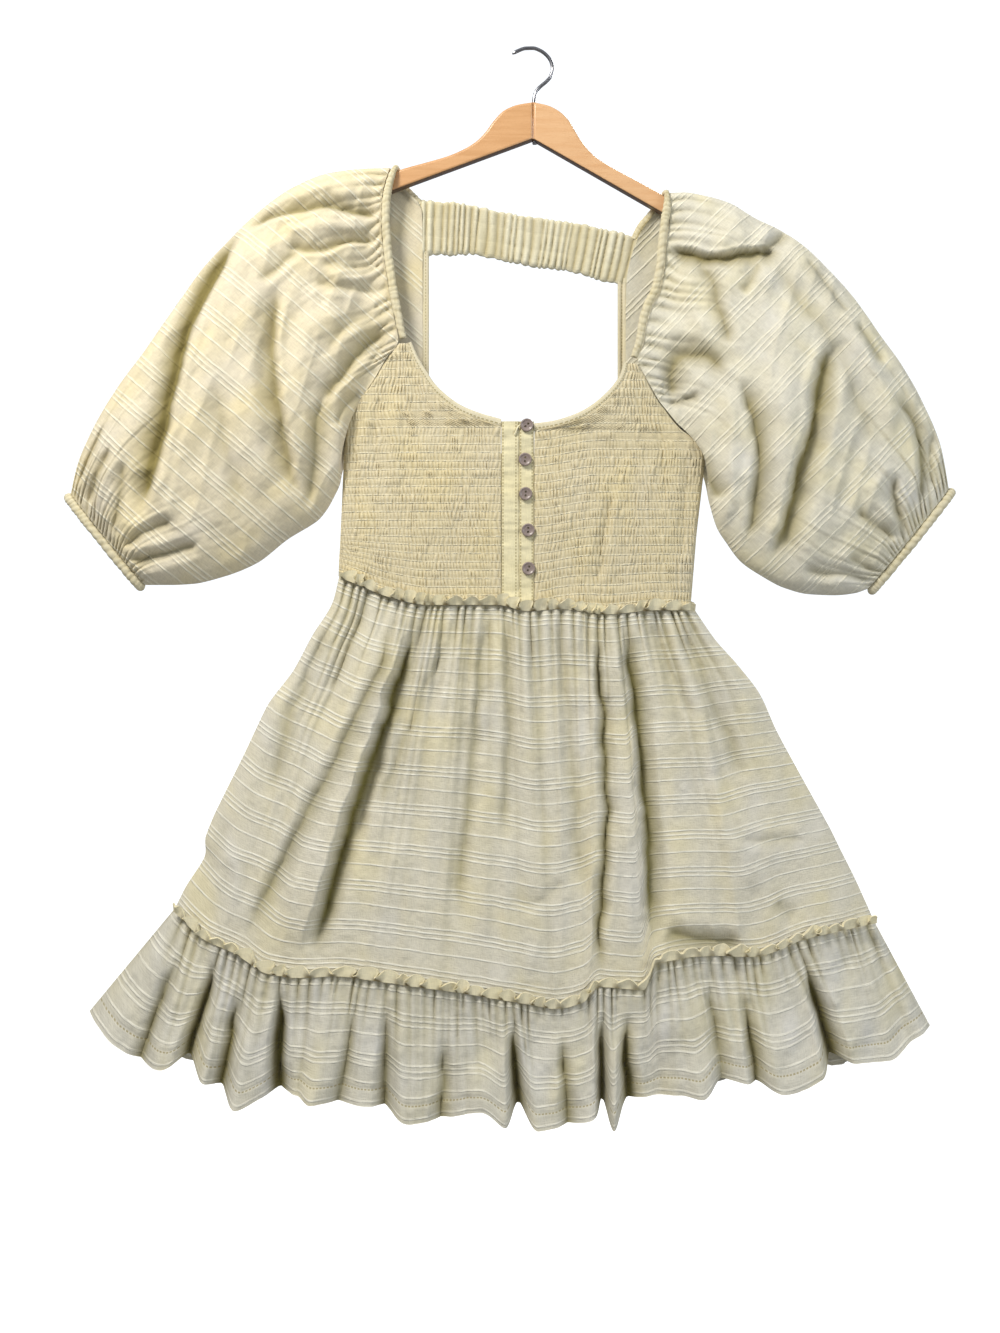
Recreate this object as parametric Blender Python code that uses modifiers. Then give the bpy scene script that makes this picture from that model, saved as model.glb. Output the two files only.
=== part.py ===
"""A cotton mini dress on a wooden hanger: smocked button front, open back, balloon sleeves, tiered skirt.

The tables hold millimetres: x to the viewer's right, and drop, the distance below the rail that the hook
hangs on. The front of the dress faces -Y and the side seams lie in the plane y = 0. Meshes are in metres.
"""

import math

import bmesh
import bpy
import numpy as np

MM = 0.001
SEAM_GAP = 0.3
CLOTH = 1.6

# The body below the sleeves, from side seam to side seam
FRONT_DEPTH = 13.0
BACK_DEPTH = 11.5
BODY_ROUND = 0.35
SHIRR_PITCH = 8.2
SHIRR_PUFF = 1.4
SHIRR_UNEVEN = 0.35
WAIST_DROP = 538.0
WAIST_BLEND = 80.0
FRONT_COLUMNS = 6
BACK_COLUMNS = 7
WAIST_COLUMNS = 14
WAIST_GAP = 0.7
FRONT_PLAIN_STEP = 2
BACK_PLAIN_STEP = 6

# The skirt and its ruffle
SKIRT_FRONT_DEPTH = 43.0
SKIRT_BACK_DEPTH = 31.0
HEM_FRONT_DEPTH = 50.0
HEM_BACK_DEPTH = 38.0
SKIRT_ROUND = 0.6
WAIST_GATHERS = 36
GATHER_DEPTH = 1.7
GATHER_FADE = 0.10
SIDE_SEAM_SHARE = 0.08
BACK_SEAM_DROP = 905.0
BACK_HEM_DROP = 1016.0
BACK_WAVES = 22
BACK_WAVE_DEPTH = 9.0
BACK_WAVE_DROP = 4.0
RUFFLE_GATHER_REACH = 0.25

# How far down a panel each row lies, and how many columns it has
SKIRT_FRONT_ROWS = (0, 66), (0.05, 66), (0.14, 51), (0.32, 51), (0.6, 51), (0.88, 51)
SKIRT_BACK_ROWS = (0, 50), (0.06, 50), (0.2, 34), (0.5, 34), (0.85, 34)
RUFFLE_ROWS = 0, 0.1, 0.5, 1

# The frilled headings that stand up from the two seams
FRILL_HEIGHT = 8.5
FRILL_UNEVEN = 1.8
FRILL_WAVE = 2.2
FRILL_FOOT = 0.35
FRILL_CLOTH = 1.2
FRILL_CLEAR = 1.7
WAIST_FRILL_FOOT_CLEAR = 0.4
FRILL_REACH = 6.0
WAIST_FRILL_WAVES = 26
BACK_WAIST_FRILL_WAVES = 20
RUFFLE_FRILL_WAVES = 45
BACK_RUFFLE_FRILL_WAVES = 28

# Sleeves, elastic casings and strap
SLEEVE_FRONT_SHARES = 15
SLEEVE_BACK_SHARES = 6
SLEEVE_BOW_REACH = 4.0
SLEEVE_ROUND = 0.42
FOLD_END = 0.2
NECK_ROUND = 0.22
CASING_GATHERS = 22
CASING_PUFF = 0.7
CASING_SIDES = 5
CUFF_GATHERS = 18
CUFF_RADIUS = 4.4
CUFF_STEP = 4.5
STRAP_GATHERS = 28
STRAP_CLOTH = 3.4
STRAP_PUFF = 1.3
STRAP_INNER_PUFF = 0.8

# Placket, binding, buttons and loop
BAND_CLOTH = 2.4
BAND_TOP_DROP = 362.5
BAND_WAIST_GAP = 1.0
BINDING_CLOTH = 2.6
BINDING_GAP = 1.2
BINDING_WIDTH = 5.6
BINDING_TIP_WIDTH = 3.0
BUTTON_RADIUS = 6.3
BUTTON_THICK = 2.4
BUTTON_BEVEL = 0.6
BUTTON_HOLE_RADIUS = 0.8
BUTTON_HOLE_SPACING = 3.2
LOOP_RADIUS = 0.8

# Hanger
WOOD_THICK = 12.0
WOOD_EDGE = 2.0
WIRE_RADIUS = 1.75
WIRE_BORE_RADIUS = 2.1
WIRE_BORE_DEPTH = 16.0
HANGER_TOP_DROP = 52.0
HANGER_JOINT_BOTTOM = 88.0
LEFT_ARM_END_BOTTOM = 166.3
RIGHT_ARM_END_BOTTOM = 201.7
HOOK_STEPS = 25


def table(names, *rows):
    """The columns of a short table, by name."""
    return dict(zip(names.split(), np.array(rows, float).T))


BODY_SIDES = table(
    "drop left right",
    (353, -181.5, 168),
    (400, -182, 165),
    (470, -185, 157),
    (507, -186, 153.5),
    (545, -188, 151),
)
WAIST_LINE = table(
    "x drop",
    (-190, 510),
    (-165, 520),
    (-140, 530),
    (-100, 538),
    (-35, 538),
    (-5, 544),
    (25, 542),
    (70, 547),
    (120, 543),
    (162, 543),
)
# The smocked front panels, from their tips at the neck. The left one's right edge and the right one's left
# edge are the neckline, then the placket
FRONT_LEFT_EDGES = table(
    "drop left right",
    (287, -127, -121),
    (304, -140, -114),
    (318, -148, -106),
    (330, -157, -98),
    (342, -169, -86),
    (352, -180, -72),
    (360, -180.5, -54),
    (367, -181, -31),
    (400, -182, -31),
    (470, -185, -31),
    (538, -187, -31),
)
FRONT_RIGHT_EDGES = table(
    "drop left right",
    (306, 91, 96),
    (318, 88, 104),
    (330, 81, 110),
    (342, 70, 117),
    (352, 58, 125),
    (360, 44, 131),
    (368, 20, 139),
    (371, 1, 143),
    (380, 1, 158),
    (390, 1, 167),
    (410, 1, 163.5),
    (470, 1, 157),
    (538, 1, 151),
)
BACK_TOP = table(
    "x drop",
    (-181, 355.5),
    (-150, 374),
    (-104, 389.5),
    (84, 389.5),
    (140, 384),
    (167.5, 395),
)
BACK_WAIST = table("x", (-187.5,), (150.5,))

# Down the skirt: where lines of the cloth leave the waist and where they reach the ruffle's seam
SKIRT_LINES = table(
    "waist_x seam_x seam_drop",
    (-188, -347, 832),
    (-176, -315, 858),
    (-160, -282, 872),
    (-142, -252, 889),
    (-128, -222, 892),
    (-110, -186, 890),
    (-86, -140, 895),
    (-57, -85, 902),
    (-28, -22, 912),
    (4, 20, 919),
    (36, 46, 913),
    (62, 63, 899),
    (78, 103, 902),
    (86, 115, 878),
    (104, 162, 871),
    (124, 210, 872),
    (142, 262, 856),
    (157, 330, 843),
)
# How far the skirt's sides swell beyond a straight line from the waist to the seam
SIDE_SWELL = table(
    "down left right",
    (0, 0, 0),
    (0.09, -6, 3),
    (0.18, -2, 11),
    (0.27, -1, 16),
    (0.4, 8, 11.5),
    (0.55, 7, 10),
    (0.7, 7, 9),
    (0.78, 5, 7),
    (0.85, -4, 5.5),
    (0.95, 0, 2),
    (1, 0, 0),
)
# Skirt folds: the place on the seam, the width to each side, and where down the panel they begin and end
SKIRT_FOLDS = table(
    "seam_x left right rise begins ends",
    (-308, 16, 16, -5, 0.00, 0.5),
    (-255, 17, 19, 21, 0.10, 2.0),
    (-204, 13, 15, -15, 0.04, 2.0),
    (-163, 9, 9, -5, 0.00, 0.5),
    (-76, 9, 9, -7, 0.00, 0.75),
    (-32, 6, 6, -6, 0.00, 0.6),
    (44, 8, 8, -5, 0.00, 0.65),
    (65, 6, 6, -12, 0.00, 2.0),
    (88, 13, 13, 4, 0.10, 2.0),
    (113, 6, 22, -13, 0.05, 2.0),
    (160, 30, 30, -6, 0.80, 2.0),
    (240, 12, 12, -6, 0.60, 2.0),
    (254, 16, 16, -6, 0.00, 0.5),
)
BACK_FOLDS = table(
    "seam_x left right rise begins ends",
    (-262, 18, 18, -9, 0.05, 2.0),
    (-180, 20, 16, 10, 0.10, 2.0),
    (-95, 12, 12, -8, 0.00, 0.8),
    (-20, 22, 18, 9, 0.15, 2.0),
    (60, 12, 12, -9, 0.00, 2.0),
    (140, 20, 20, 10, 0.10, 2.0),
    (235, 16, 16, -8, 0.05, 2.0),
)
# Ridges and hollows of the front ruffle, left to right
RUFFLE_FOLDS = table(
    "seam_x hem_x hem_drop rise",
    (-347, -430, 932, 0),
    (-340, -402, 959, 7),
    (-334, -378, 973, 2),
    (-320, -353, 980, 12),
    (-302, -331, 970, -6),
    (-290, -313, 991, 8),
    (-272, -298, 996, -2),
    (-252, -279, 1014, 16),
    (-238, -244, 1001, -9),
    (-212, -223, 1002, 0),
    (-195, -209, 1008, 13),
    (-166, -184, 1008, 0),
    (-150, -161, 1010, 5),
    (-137, -142, 1012, -4),
    (-118, -117, 1025, 11),
    (-84, -87, 1022, 0),
    (-55, -50, 1014, 7),
    (-32, -27, 1028, 10),
    (-22, -15, 1011, -6),
    (0, 4, 1031, 10),
    (28, 31, 1027, 5),
    (52, 57, 1020, 7),
    (63, 65, 1008, -8),
    (73, 74, 1031, 13),
    (87, 88, 1009, -9),
    (108, 113, 1003, -8),
    (124, 139, 1001, 3),
    (137, 158, 1003, 11),
    (160, 178, 987, 1),
    (185, 199, 990, 6),
    (197, 212, 991, -3),
    (216, 236, 1000, 12),
    (240, 271, 988, 9),
    (250, 287, 970, -8),
    (268, 306, 974, 9),
    (300, 338, 973, 10),
    (320, 363, 957, 2),
    (330, 385, 946, 0),
)

# Sleeves, from neck to cuff: the upper and the lower outline, and how far each side stands from the middle
SLEEVE_LEFT = table(
    "high_x high_drop low_x low_drop front back",
    (-138, 115.5, -182.5, 354.5, 14, 13),
    (-152, 116, -184.5, 375, 20, 15),
    (-172, 117, -185.5, 396, 26, 17),
    (-200, 121, -187, 419, 31, 19),
    (-232, 134, -193, 434, 35, 22),
    (-262, 155, -206, 454, 39, 24),
    (-292, 183, -238, 475, 42, 25),
    (-320, 213, -268, 498, 43, 26),
    (-347, 252, -300, 511, 42, 26),
    (-375, 292, -330, 518, 40, 25),
    (-402, 328, -351, 519, 36, 23),
    (-425, 366, -364, 519, 30, 20),
    (-441, 402, -371, 519, 22, 16),
    (-448, 430, -376, 519, 13, 11),
)
SLEEVE_RIGHT = table(
    "high_x high_drop low_x low_drop front back",
    (132, 139.5, 170, 393.5, 14, 13),
    (146, 139, 169.5, 407, 20, 15),
    (165, 142, 169.5, 420, 26, 17),
    (190, 149, 170, 433, 31, 19),
    (215, 164, 173, 447, 35, 22),
    (240, 176, 178, 463, 39, 24),
    (262, 191, 188, 479, 42, 25),
    (285, 213, 201, 496, 43, 26),
    (308, 238, 221, 510, 42, 26),
    (333, 273, 244, 522, 40, 25),
    (357, 307, 268, 528, 36, 23),
    (378, 344, 292, 529, 30, 20),
    (395, 385, 312, 527, 22, 16),
    (403, 425, 324, 523, 13, 11),
)
# The edge that joins each sleeve to the body, down the front and down the back
ARMHOLE_FRONT_LEFT = table(
    "x drop",
    (-138, 115.5),
    (-145.5, 145),
    (-146.5, 170),
    (-144.5, 200),
    (-141.5, 220),
    (-138.5, 240),
    (-134.5, 260),
    (-130, 284),
    (-143, 303),
    (-152, 319),
    (-161, 332),
    (-171, 344),
    (-182.5, 354.5),
)
ARMHOLE_BACK_LEFT = table(
    "x drop",
    (-138, 115.5),
    (-122, 137),
    (-108, 150),
    (-107.5, 195),
    (-107.5, 320),
    (-107.5, 387),
    (-150, 371.5),
    (-182.5, 354.5),
)
ARMHOLE_FRONT_RIGHT = table(
    "x drop",
    (132, 139.5),
    (131.8, 165),
    (128.8, 190),
    (126.8, 214),
    (122.5, 238),
    (114.5, 253),
    (109.5, 270),
    (107, 287),
    (101, 303),
    (107.5, 318),
    (114, 330),
    (121, 342),
    (129, 352),
    (143, 367.5),
    (161, 379.5),
    (170, 393.5),
)
ARMHOLE_BACK_RIGHT = table(
    "x drop",
    (132, 139.5),
    (116, 160),
    (103, 178),
    (91, 226),
    (90.5, 300),
    (90.5, 387),
    (140, 381.5),
    (170, 393.5),
)
# The largest folds of each sleeve's front: a line across it, how far its middle bows, its width and its rise
SLEEVE_LEFT_FOLDS = table(
    "x1 drop1 x2 drop2 bow width rise",
    (-285, 190, -374, 445, 11, 14, -13),
    (-150, 158, -275, 178, 6, 9, -8),
    (-150, 190, -250, 222, 3, 9, -7),
    (-248, 240, -230, 425, 9, 11, -8),
    (-207, 340, -212, 440, 0, 9, -6),
    (-150, 285, -205, 335, 0, 10, -7),
    (-305, 330, -280, 470, 0, 22, 6),
    (-390, 490, -310, 478, 0, 9, -6),
)
SLEEVE_RIGHT_FOLDS = table(
    "x1 drop1 x2 drop2 bow width rise",
    (130, 196, 236, 202, -4, 8, -10),
    (240, 180, 222, 203, 0, 9, -6),
    (172, 215, 182, 290, 0, 10, -6),
    (283, 296, 228, 500, -8, 11, -11),
    (200, 345, 203, 482, -13, 10, -8),
    (134, 298, 148, 350, 0, 13, -9),
    (255, 195, 342, 375, -12, 15, -6),
    (355, 390, 356, 470, 4, 9, -7),
    (262, 508, 335, 512, 0, 9, -6),
)
SLEEVE_BACK_FOLDS = table(
    "x1 drop1 x2 drop2 bow width rise",
    (-255, 190, -345, 440, 8, 15, -9),
    (-200, 240, -225, 430, 0, 13, -7),
    (250, 210, 300, 480, 8, 15, -9),
    (190, 260, 215, 470, 0, 13, -7),
)
# The elastic neck casings, from the front panel's tip up over the hanger and down to the strap
CASING_LEFT = table(
    "x y drop radius",
    (-125.5, -11.2, 282, 3.3),
    (-130, -11.8, 260, 3.7),
    (-134, -12, 240, 3.9),
    (-137, -12, 220, 3.9),
    (-140, -12, 198, 3.9),
    (-142, -12, 172, 3.9),
    (-141, -12, 146, 3.9),
    (-137, -11.5, 128, 3.4),
    (-133, -7.5, 116.6, 2.3),
    (-132, 0, 114.6, 2.3),
    (-130, 7.5, 116.6, 2.3),
    (-123, 11.5, 128, 2.8),
    (-112, 12, 139, 2.8),
)
CASING_RIGHT = table(
    "x y drop radius",
    (97, -11.2, 300, 3.3),
    (102.5, -11.8, 284, 3.7),
    (105, -12, 267, 3.9),
    (110.5, -12, 249, 3.9),
    (118, -12, 233, 3.9),
    (122.3, -12, 212, 3.9),
    (124.3, -12, 188, 3.9),
    (127, -12, 166, 3.9),
    (129, -11.5, 152, 3.4),
    (129, -7.5, 140.6, 2.3),
    (128, 0, 138.6, 2.3),
    (126, 7.5, 140.6, 2.3),
    (117, 11.5, 154, 2.8),
    (105, 12, 169, 2.8),
)
STRAP_LINES = table(
    "high_x high_drop low_x low_drop",
    (-107.3, 143, -107.2, 195),
    (-80, 144, -80, 196),
    (-60, 147, -60, 195),
    (-40, 151.5, -41, 199),
    (0, 158.5, -2, 206.5),
    (47, 165, 36, 212),
    (80, 173, 62, 219),
    (101, 179, 88, 226),
)

# Hanger: the top of each arm, out from the middle, over its straight underside, and the hook's wire
ARM_LEFT = table(
    "out top",
    (0.15, 52),
    (15, 54.5),
    (28, 60),
    (38, 70),
    (46, 81),
    (55, 90),
    (66, 97),
    (82, 104),
    (104, 110.5),
    (128, 117.3),
    (145, 125),
    (180, 139),
    (212, 152),
)
ARM_RIGHT = table(
    "out top",
    (0.15, 52),
    (14, 55),
    (25, 60.5),
    (35, 70),
    (42, 82),
    (50, 94),
    (60, 104.5),
    (76, 115),
    (100, 128),
    (124, 141.3),
    (140, 152),
    (170, 170),
    (198, 187),
)
HOOK_WIRE = table(
    "x drop",
    (-20, 3.8),
    (-14, 0.6),
    (-7, -1.6),
    (0, -1.75),
    (7, 0.6),
    (13, 5),
    (17.4, 11.2),
    (19, 18),
    (17.4, 25),
    (13, 30.6),
    (8, 34.8),
    (4, 39),
    (1.8, 44),
    (1, 50),
    (0.9, 66),
)
BUTTONS = table(
    "x drop turn",
    (-6.2, 366.4, 45),
    (-7.9, 399.3, 5),
    (-7.4, 432.2, 0),
    (-5, 467.1, 2),
    (-4.6, 503.9, 20),
)
BANDS = table("left right", (-30.7, -13.9), (-13.4, 0.7))
BACK_BINDINGS = table("left right top bottom", (-107, -101.3, 197, 384.5), (82.8, 90, 227, 388))
TOP_LOOP = table("x drop", (-17, 374), (-15.8, 370), (-13.7, 367.2))

part = bpy.data.collections.new("mini_dress")
cutters = bpy.data.collections.new("cutters")


def clear_scene():
    for item in list(bpy.data.objects):
        bpy.data.objects.remove(item)
    bpy.context.scene.collection.children.link(part)
    bpy.context.scene.collection.children.link(cutters)


def material(name, colour, roughness, metallic=0.0):
    made = bpy.data.materials.new(name)
    made.use_nodes = True
    shader = made.node_tree.nodes["Principled BSDF"]
    shader.inputs["Base Color"].default_value = (*colour, 1.0)
    shader.inputs["Roughness"].default_value = roughness
    shader.inputs["Metallic"].default_value = metallic
    return made


def smooth(xs, ys, x):
    """The value at x on a smooth curve through the points, which doesn't overshoot them."""
    steps = np.diff(xs)
    rises = np.diff(ys) / steps
    slopes = np.concatenate([rises[:1], np.zeros(len(rises) - 1), rises[-1:]])
    same = rises[:-1] * rises[1:] > 0
    slopes[1:-1][same] = (2 * rises[:-1] * rises[1:] / np.where(same, rises[:-1] + rises[1:], 1))[same]
    i = int(np.clip(np.searchsorted(xs, x, side="right") - 1, 0, len(xs) - 2))
    t = (x - xs[i]) / steps[i]
    return (
        ys[i] * (1 + 2 * t) * (1 - t) ** 2
        + ys[i + 1] * t * t * (3 - 2 * t)
        + steps[i] * t * (1 - t) * (slopes[i] * (1 - t) - slopes[i + 1] * t)
    )


def along(lines, name, share):
    """A column's value at a share, 0 to 1, of the way down its table."""
    column = lines[name]
    return smooth(np.arange(len(column)), column, share * (len(column) - 1))


def ease(x):
    x = min(max(x, 0.0), 1.0)
    return x * x * (3 - 2 * x)


def waist_drop(x):
    return smooth(WAIST_LINE["x"], WAIST_LINE["drop"], x)


def body_depth(x, drop, depth):
    """How far the inside of the front, or of the back, stands from the plane of the side seams."""
    left = np.interp(drop, BODY_SIDES["drop"], BODY_SIDES["left"])
    right = np.interp(drop, BODY_SIDES["drop"], BODY_SIDES["right"])
    across = min(abs(2 * x - left - right) / (right - left), 1.0)
    return SEAM_GAP / 2 + depth * (1 - across**2) ** BODY_ROUND


def fold_line(folds, x, drop):
    """The summed rise, at a place, of folds that run along lines."""
    total = 0.0
    for x1, z1, x2, z2, bow, width, rise in zip(*folds.values()):
        length = math.hypot(x2 - x1, z2 - z1)
        run = ((x - x1) * (x2 - x1) + (drop - z1) * (z2 - z1)) / length**2
        off = ((x - x1) * (z2 - z1) - (drop - z1) * (x2 - x1)) / length
        off -= bow * 4 * max(run, 0) * max(1 - run, 0)
        ends = ease(run / FOLD_END + 0.5) * ease((1 - run) / FOLD_END + 0.5)
        total += rise * math.exp(-((off / width) ** 2)) * ends
    return total


def loft(mesh, first, second):
    """Faces between two rows of vertices, which may hold unlike numbers of them."""
    i = j = 0
    while i < len(first) - 1 or j < len(second) - 1:
        next_i = (i + 1) / (len(first) - 1) if i < len(first) - 1 else 2
        next_j = (j + 1) / (len(second) - 1) if j < len(second) - 1 else 2
        if abs(next_i - next_j) < 1e-9:
            mesh.faces.new((first[i], first[i + 1], second[j + 1], second[j]))
            i, j = i + 1, j + 1
        elif next_i < next_j:
            mesh.faces.new((first[i], first[i + 1], second[j]))
            i += 1
        else:
            mesh.faces.new((first[i], second[j + 1], second[j]))
            j += 1


def finish_mesh(name, mesh, cloth):
    """The mesh made an object, smooth but for its sharp edges."""
    bmesh.ops.recalc_face_normals(mesh, faces=mesh.faces)
    data = bpy.data.meshes.new(name)
    mesh.to_mesh(data)
    mesh.free()
    data.materials.append(cloth)
    data.shade_smooth()
    data.set_sharp_from_angle(angle=math.radians(50))
    made = bpy.data.objects.new(name, data)
    part.objects.link(made)
    return made


def place(mesh, point):
    x, y, drop = point
    return mesh.verts.new((x * MM, y * MM, -drop * MM))


def wall(name, outer, inner, cloth):
    """A wall of cloth between an outer and an inner sheet, each a list of rows of points."""
    mesh = bmesh.new()
    sheets = [[[place(mesh, p) for p in row] for row in sheet] for sheet in (outer, inner)]
    for sheet in sheets:
        for row, following in zip(sheet, sheet[1:]):
            loft(mesh, row, following)
    near, far = sheets
    for end in (0, -1):
        loft(mesh, near[end], far[end])
        loft(mesh, [row[end] for row in near], [row[end] for row in far])
    return finish_mesh(name, mesh, cloth)


def tube_wall(name, outer, inner, cloth):
    """An open tube of cloth between outer and inner rings of points."""
    mesh = bmesh.new()
    sheets = [[[place(mesh, p) for p in ring] for ring in sheet] for sheet in (outer, inner)]
    for sheet in sheets:
        for ring, following in zip(sheet, sheet[1:]):
            loft(mesh, ring + ring[:1], following + following[:1])
    near, far = sheets
    for end in (0, -1):
        loft(mesh, near[end] + near[end][:1], far[end] + far[end][:1])
    return finish_mesh(name, mesh, cloth)


def gathered_cord(name, centres, radii, aside, cloth, closed):
    """An elastic casing: a tube whose cloth puffs out between the pinches. It never runs along aside."""
    mesh = bmesh.new()
    centres = np.array(centres, float)
    rings = []
    for i, centre in enumerate(centres):
        before = centres[i - 1] if closed or i else centre
        after = centres[(i + 1) % len(centres)] if closed or i < len(centres) - 1 else centre
        ahead = (after - before) / np.linalg.norm(after - before)
        across = np.cross(ahead, aside)
        across /= np.linalg.norm(across)
        up = np.cross(across, ahead)
        angles = [math.tau * k / CASING_SIDES for k in range(CASING_SIDES)]
        ring = [centre + radii[i] * (math.cos(a) * across + math.sin(a) * up) for a in angles]
        rings.append([place(mesh, p) for p in ring])
    for ring, following in zip(rings, rings[1:] + rings[:1] if closed else rings[1:]):
        loft(mesh, ring + ring[:1], following + following[:1])
    if not closed:
        mesh.faces.new(rings[0])
        mesh.faces.new(rings[-1])
    return finish_mesh(name, mesh, cloth)


def smocked_wall(name, points, side, depth, plain_step, cloth):
    """A shirred panel: rows of puffs raised on its outer face, over a plain inner face."""
    outer, inner = [], []
    for k, row in enumerate(points):
        puffs = [SHIRR_PUFF * (k % 2) * (1 - SHIRR_UNEVEN * ((c + 1) % 2)) for c in range(len(row))]
        depths = [body_depth(x, drop, depth) for x, drop in row]
        outer.append([(x, side * (d + CLOTH + p), drop) for (x, drop), d, p in zip(row, depths, puffs)])
        if k % plain_step == 0 or k == len(points) - 1:
            inner.append([(x, side * d, drop) for (x, drop), d in zip(row, depths)])
    return wall(name, outer, inner, cloth)


def front_panel(name, edges, cloth):
    top = edges["drop"][0]
    count = 2 * round((WAIST_DROP - top) / SHIRR_PITCH)
    rows = []
    for k in range(count + 1):
        drop = top + (WAIST_DROP - top) * k / count
        left, right = (np.interp(drop, edges["drop"], edges[name]) for name in ("left", "right"))
        row = []
        for x in np.linspace(left, right, (WAIST_COLUMNS if k == count else FRONT_COLUMNS) + 1):
            share = ease((drop - WAIST_DROP + WAIST_BLEND) / WAIST_BLEND)
            row.append((x, drop + (waist_drop(x) - WAIST_GAP / 2 - WAIST_DROP) * share))
        rows.append(row)
    smocked_wall(name, rows, -1, FRONT_DEPTH, FRONT_PLAIN_STEP, cloth)


def back_panel(cloth):
    count = 2 * round((WAIST_DROP - BACK_TOP["drop"].min()) / SHIRR_PITCH)
    rows = []
    for share in np.linspace(0, 1, count + 1):
        left, right = BACK_TOP["x"][[0, -1]] * (1 - share) + BACK_WAIST["x"] * share
        row = []
        for x in np.linspace(left, right, (2 * WAIST_COLUMNS if share == 1 else BACK_COLUMNS) + 1):
            top = np.interp(x, BACK_TOP["x"], BACK_TOP["drop"])
            row.append((x, top + (waist_drop(x) - WAIST_GAP / 2 - top) * share))
        rows.append(row)
    smocked_wall("bodice_back", rows, 1, BACK_DEPTH, BACK_PLAIN_STEP, cloth)


def strip(name, highs, lows, depth, thick, side, cloth):
    """A narrow band on the body, between an upper and a lower line of points."""
    outer, inner = [], []
    for line in (highs, lows):
        depths = [body_depth(x, drop, depth) for x, drop in line]
        outer.append([(x, side * (d + thick), drop) for (x, drop), d in zip(line, depths)])
        inner.append([(x, side * d, drop) for (x, drop), d in zip(line, depths)])
    return wall(name, outer, inner, cloth)


def neckline_binding(name, edges, column, cloth):
    """The folded strip that binds the neckline, from a front panel's tip down to the placket."""
    placket = edges[column][-1]
    rows = int(np.argmax(edges[column] == placket)) + 1
    line = np.array((edges[column][:rows], edges["drop"][:rows])).T
    ahead = np.gradient(line, axis=0)
    ahead /= np.linalg.norm(ahead, axis=1)[:, None]
    side = 1 if column == "right" else -1
    out = side * np.array((ahead[:, 1], -ahead[:, 0])).T
    widths = np.linspace(BINDING_TIP_WIDTH, BINDING_WIDTH, rows)[:, None]
    lows, highs = line + out * BINDING_GAP, line + out * (BINDING_GAP + widths)
    lows[-1, 0] = highs[-1, 0] = placket + side * SEAM_GAP
    strip(name, highs, lows, FRONT_DEPTH, BINDING_CLOTH, -1, cloth)


def bands_and_bindings(cloth):
    neckline_binding("neck_binding_left", FRONT_LEFT_EDGES, "right", cloth)
    neckline_binding("neck_binding_right", FRONT_RIGHT_EDGES, "left", cloth)
    for name, left, right in zip(("loop_band", "button_band"), BANDS["left"], BANDS["right"]):
        drops = np.linspace(BAND_TOP_DROP, waist_drop(left) - BAND_WAIST_GAP, 9)
        lines = [(left, d) for d in drops], [(right, d) for d in drops]
        strip(name, *lines, FRONT_DEPTH, BAND_CLOTH, -1, cloth)
    for i, side in enumerate(("left", "right")):
        left, right, top, bottom = (column[i] for column in BACK_BINDINGS.values())
        drops = np.linspace(top, bottom - SEAM_GAP, 9)
        lines = [(left, d) for d in drops], [(right, d) for d in drops]
        strip(f"back_binding_{side}", *lines, BACK_DEPTH, BINDING_CLOTH, 1, cloth)


def skirt_point(share, down, side):
    """x, distance from the side seams' plane, and drop, of a place on the skirt's inner face."""
    waist_x = along(SKIRT_LINES, "waist_x", share)
    seam_x = along(SKIRT_LINES, "seam_x", share)
    seam_drop = along(SKIRT_LINES, "seam_drop", share)
    depth, folds = (SKIRT_FRONT_DEPTH, SKIRT_FOLDS) if side < 0 else (SKIRT_BACK_DEPTH, BACK_FOLDS)
    first, last = SKIRT_LINES["seam_x"][[0, -1]]
    across = (2 * seam_x - first - last) / (last - first)
    if side > 0:
        seam_drop = np.interp(seam_x, (first, last), SKIRT_LINES["seam_drop"][[0, -1]])
        seam_drop += (BACK_SEAM_DROP - seam_drop) * (1 - across**2)
    swell = smooth(SIDE_SWELL["down"], SIDE_SWELL["left" if across < 0 else "right"], down)
    x = waist_x + (seam_x - waist_x) * down + swell * across * across**2
    top = waist_drop(waist_x) + WAIST_GAP / 2
    drop = top + (seam_drop - SEAM_GAP / 2 - top) * down
    waist_depth = body_depth(waist_x, WAIST_DROP, FRONT_DEPTH if side < 0 else BACK_DEPTH)
    round_depth = waist_depth + (SEAM_GAP / 2 + depth * (1 - across**2) ** SKIRT_ROUND - waist_depth) * down
    rise = 0.0
    for seam, left, right, height, begins, ends in zip(*folds.values()):
        width = left if seam_x < seam else right
        fade = ease((down - begins) / 0.35 + 0.1) * (1 - ease((down - ends) / 0.25))
        rise += height * fade * math.exp(-(((seam_x - seam) / width) ** 2))
    gather = math.sin(math.tau * WAIST_GATHERS * share + 1.4 * math.sin(9 * share))
    rise += GATHER_DEPTH * math.exp(-down / GATHER_FADE) * gather
    edge = ease((1 - abs(across)) / SIDE_SEAM_SHARE)
    return x, max(round_depth + rise * edge, SEAM_GAP / 2), drop


def skirt_panel(name, side, counts, seam_xs, cloth):
    """A skirt panel with its own count of columns in each row, the last being the ruffle's own places."""
    shares = np.linspace(0, 1, 401)
    seam_shares = np.interp(seam_xs, [along(SKIRT_LINES, "seam_x", s) for s in shares], shares)
    outer, inner = [], []
    for down, count in counts + ((1, None),):
        across = seam_shares if count is None else np.linspace(0, 1, count + 1)
        places = [skirt_point(share, down, side) for share in across]
        outer.append([(x, side * (d + CLOTH), drop) for x, d, drop in places])
        inner.append([(x, side * d, drop) for x, d, drop in places])
    wall(name, outer, inner, cloth)
    return outer


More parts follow.
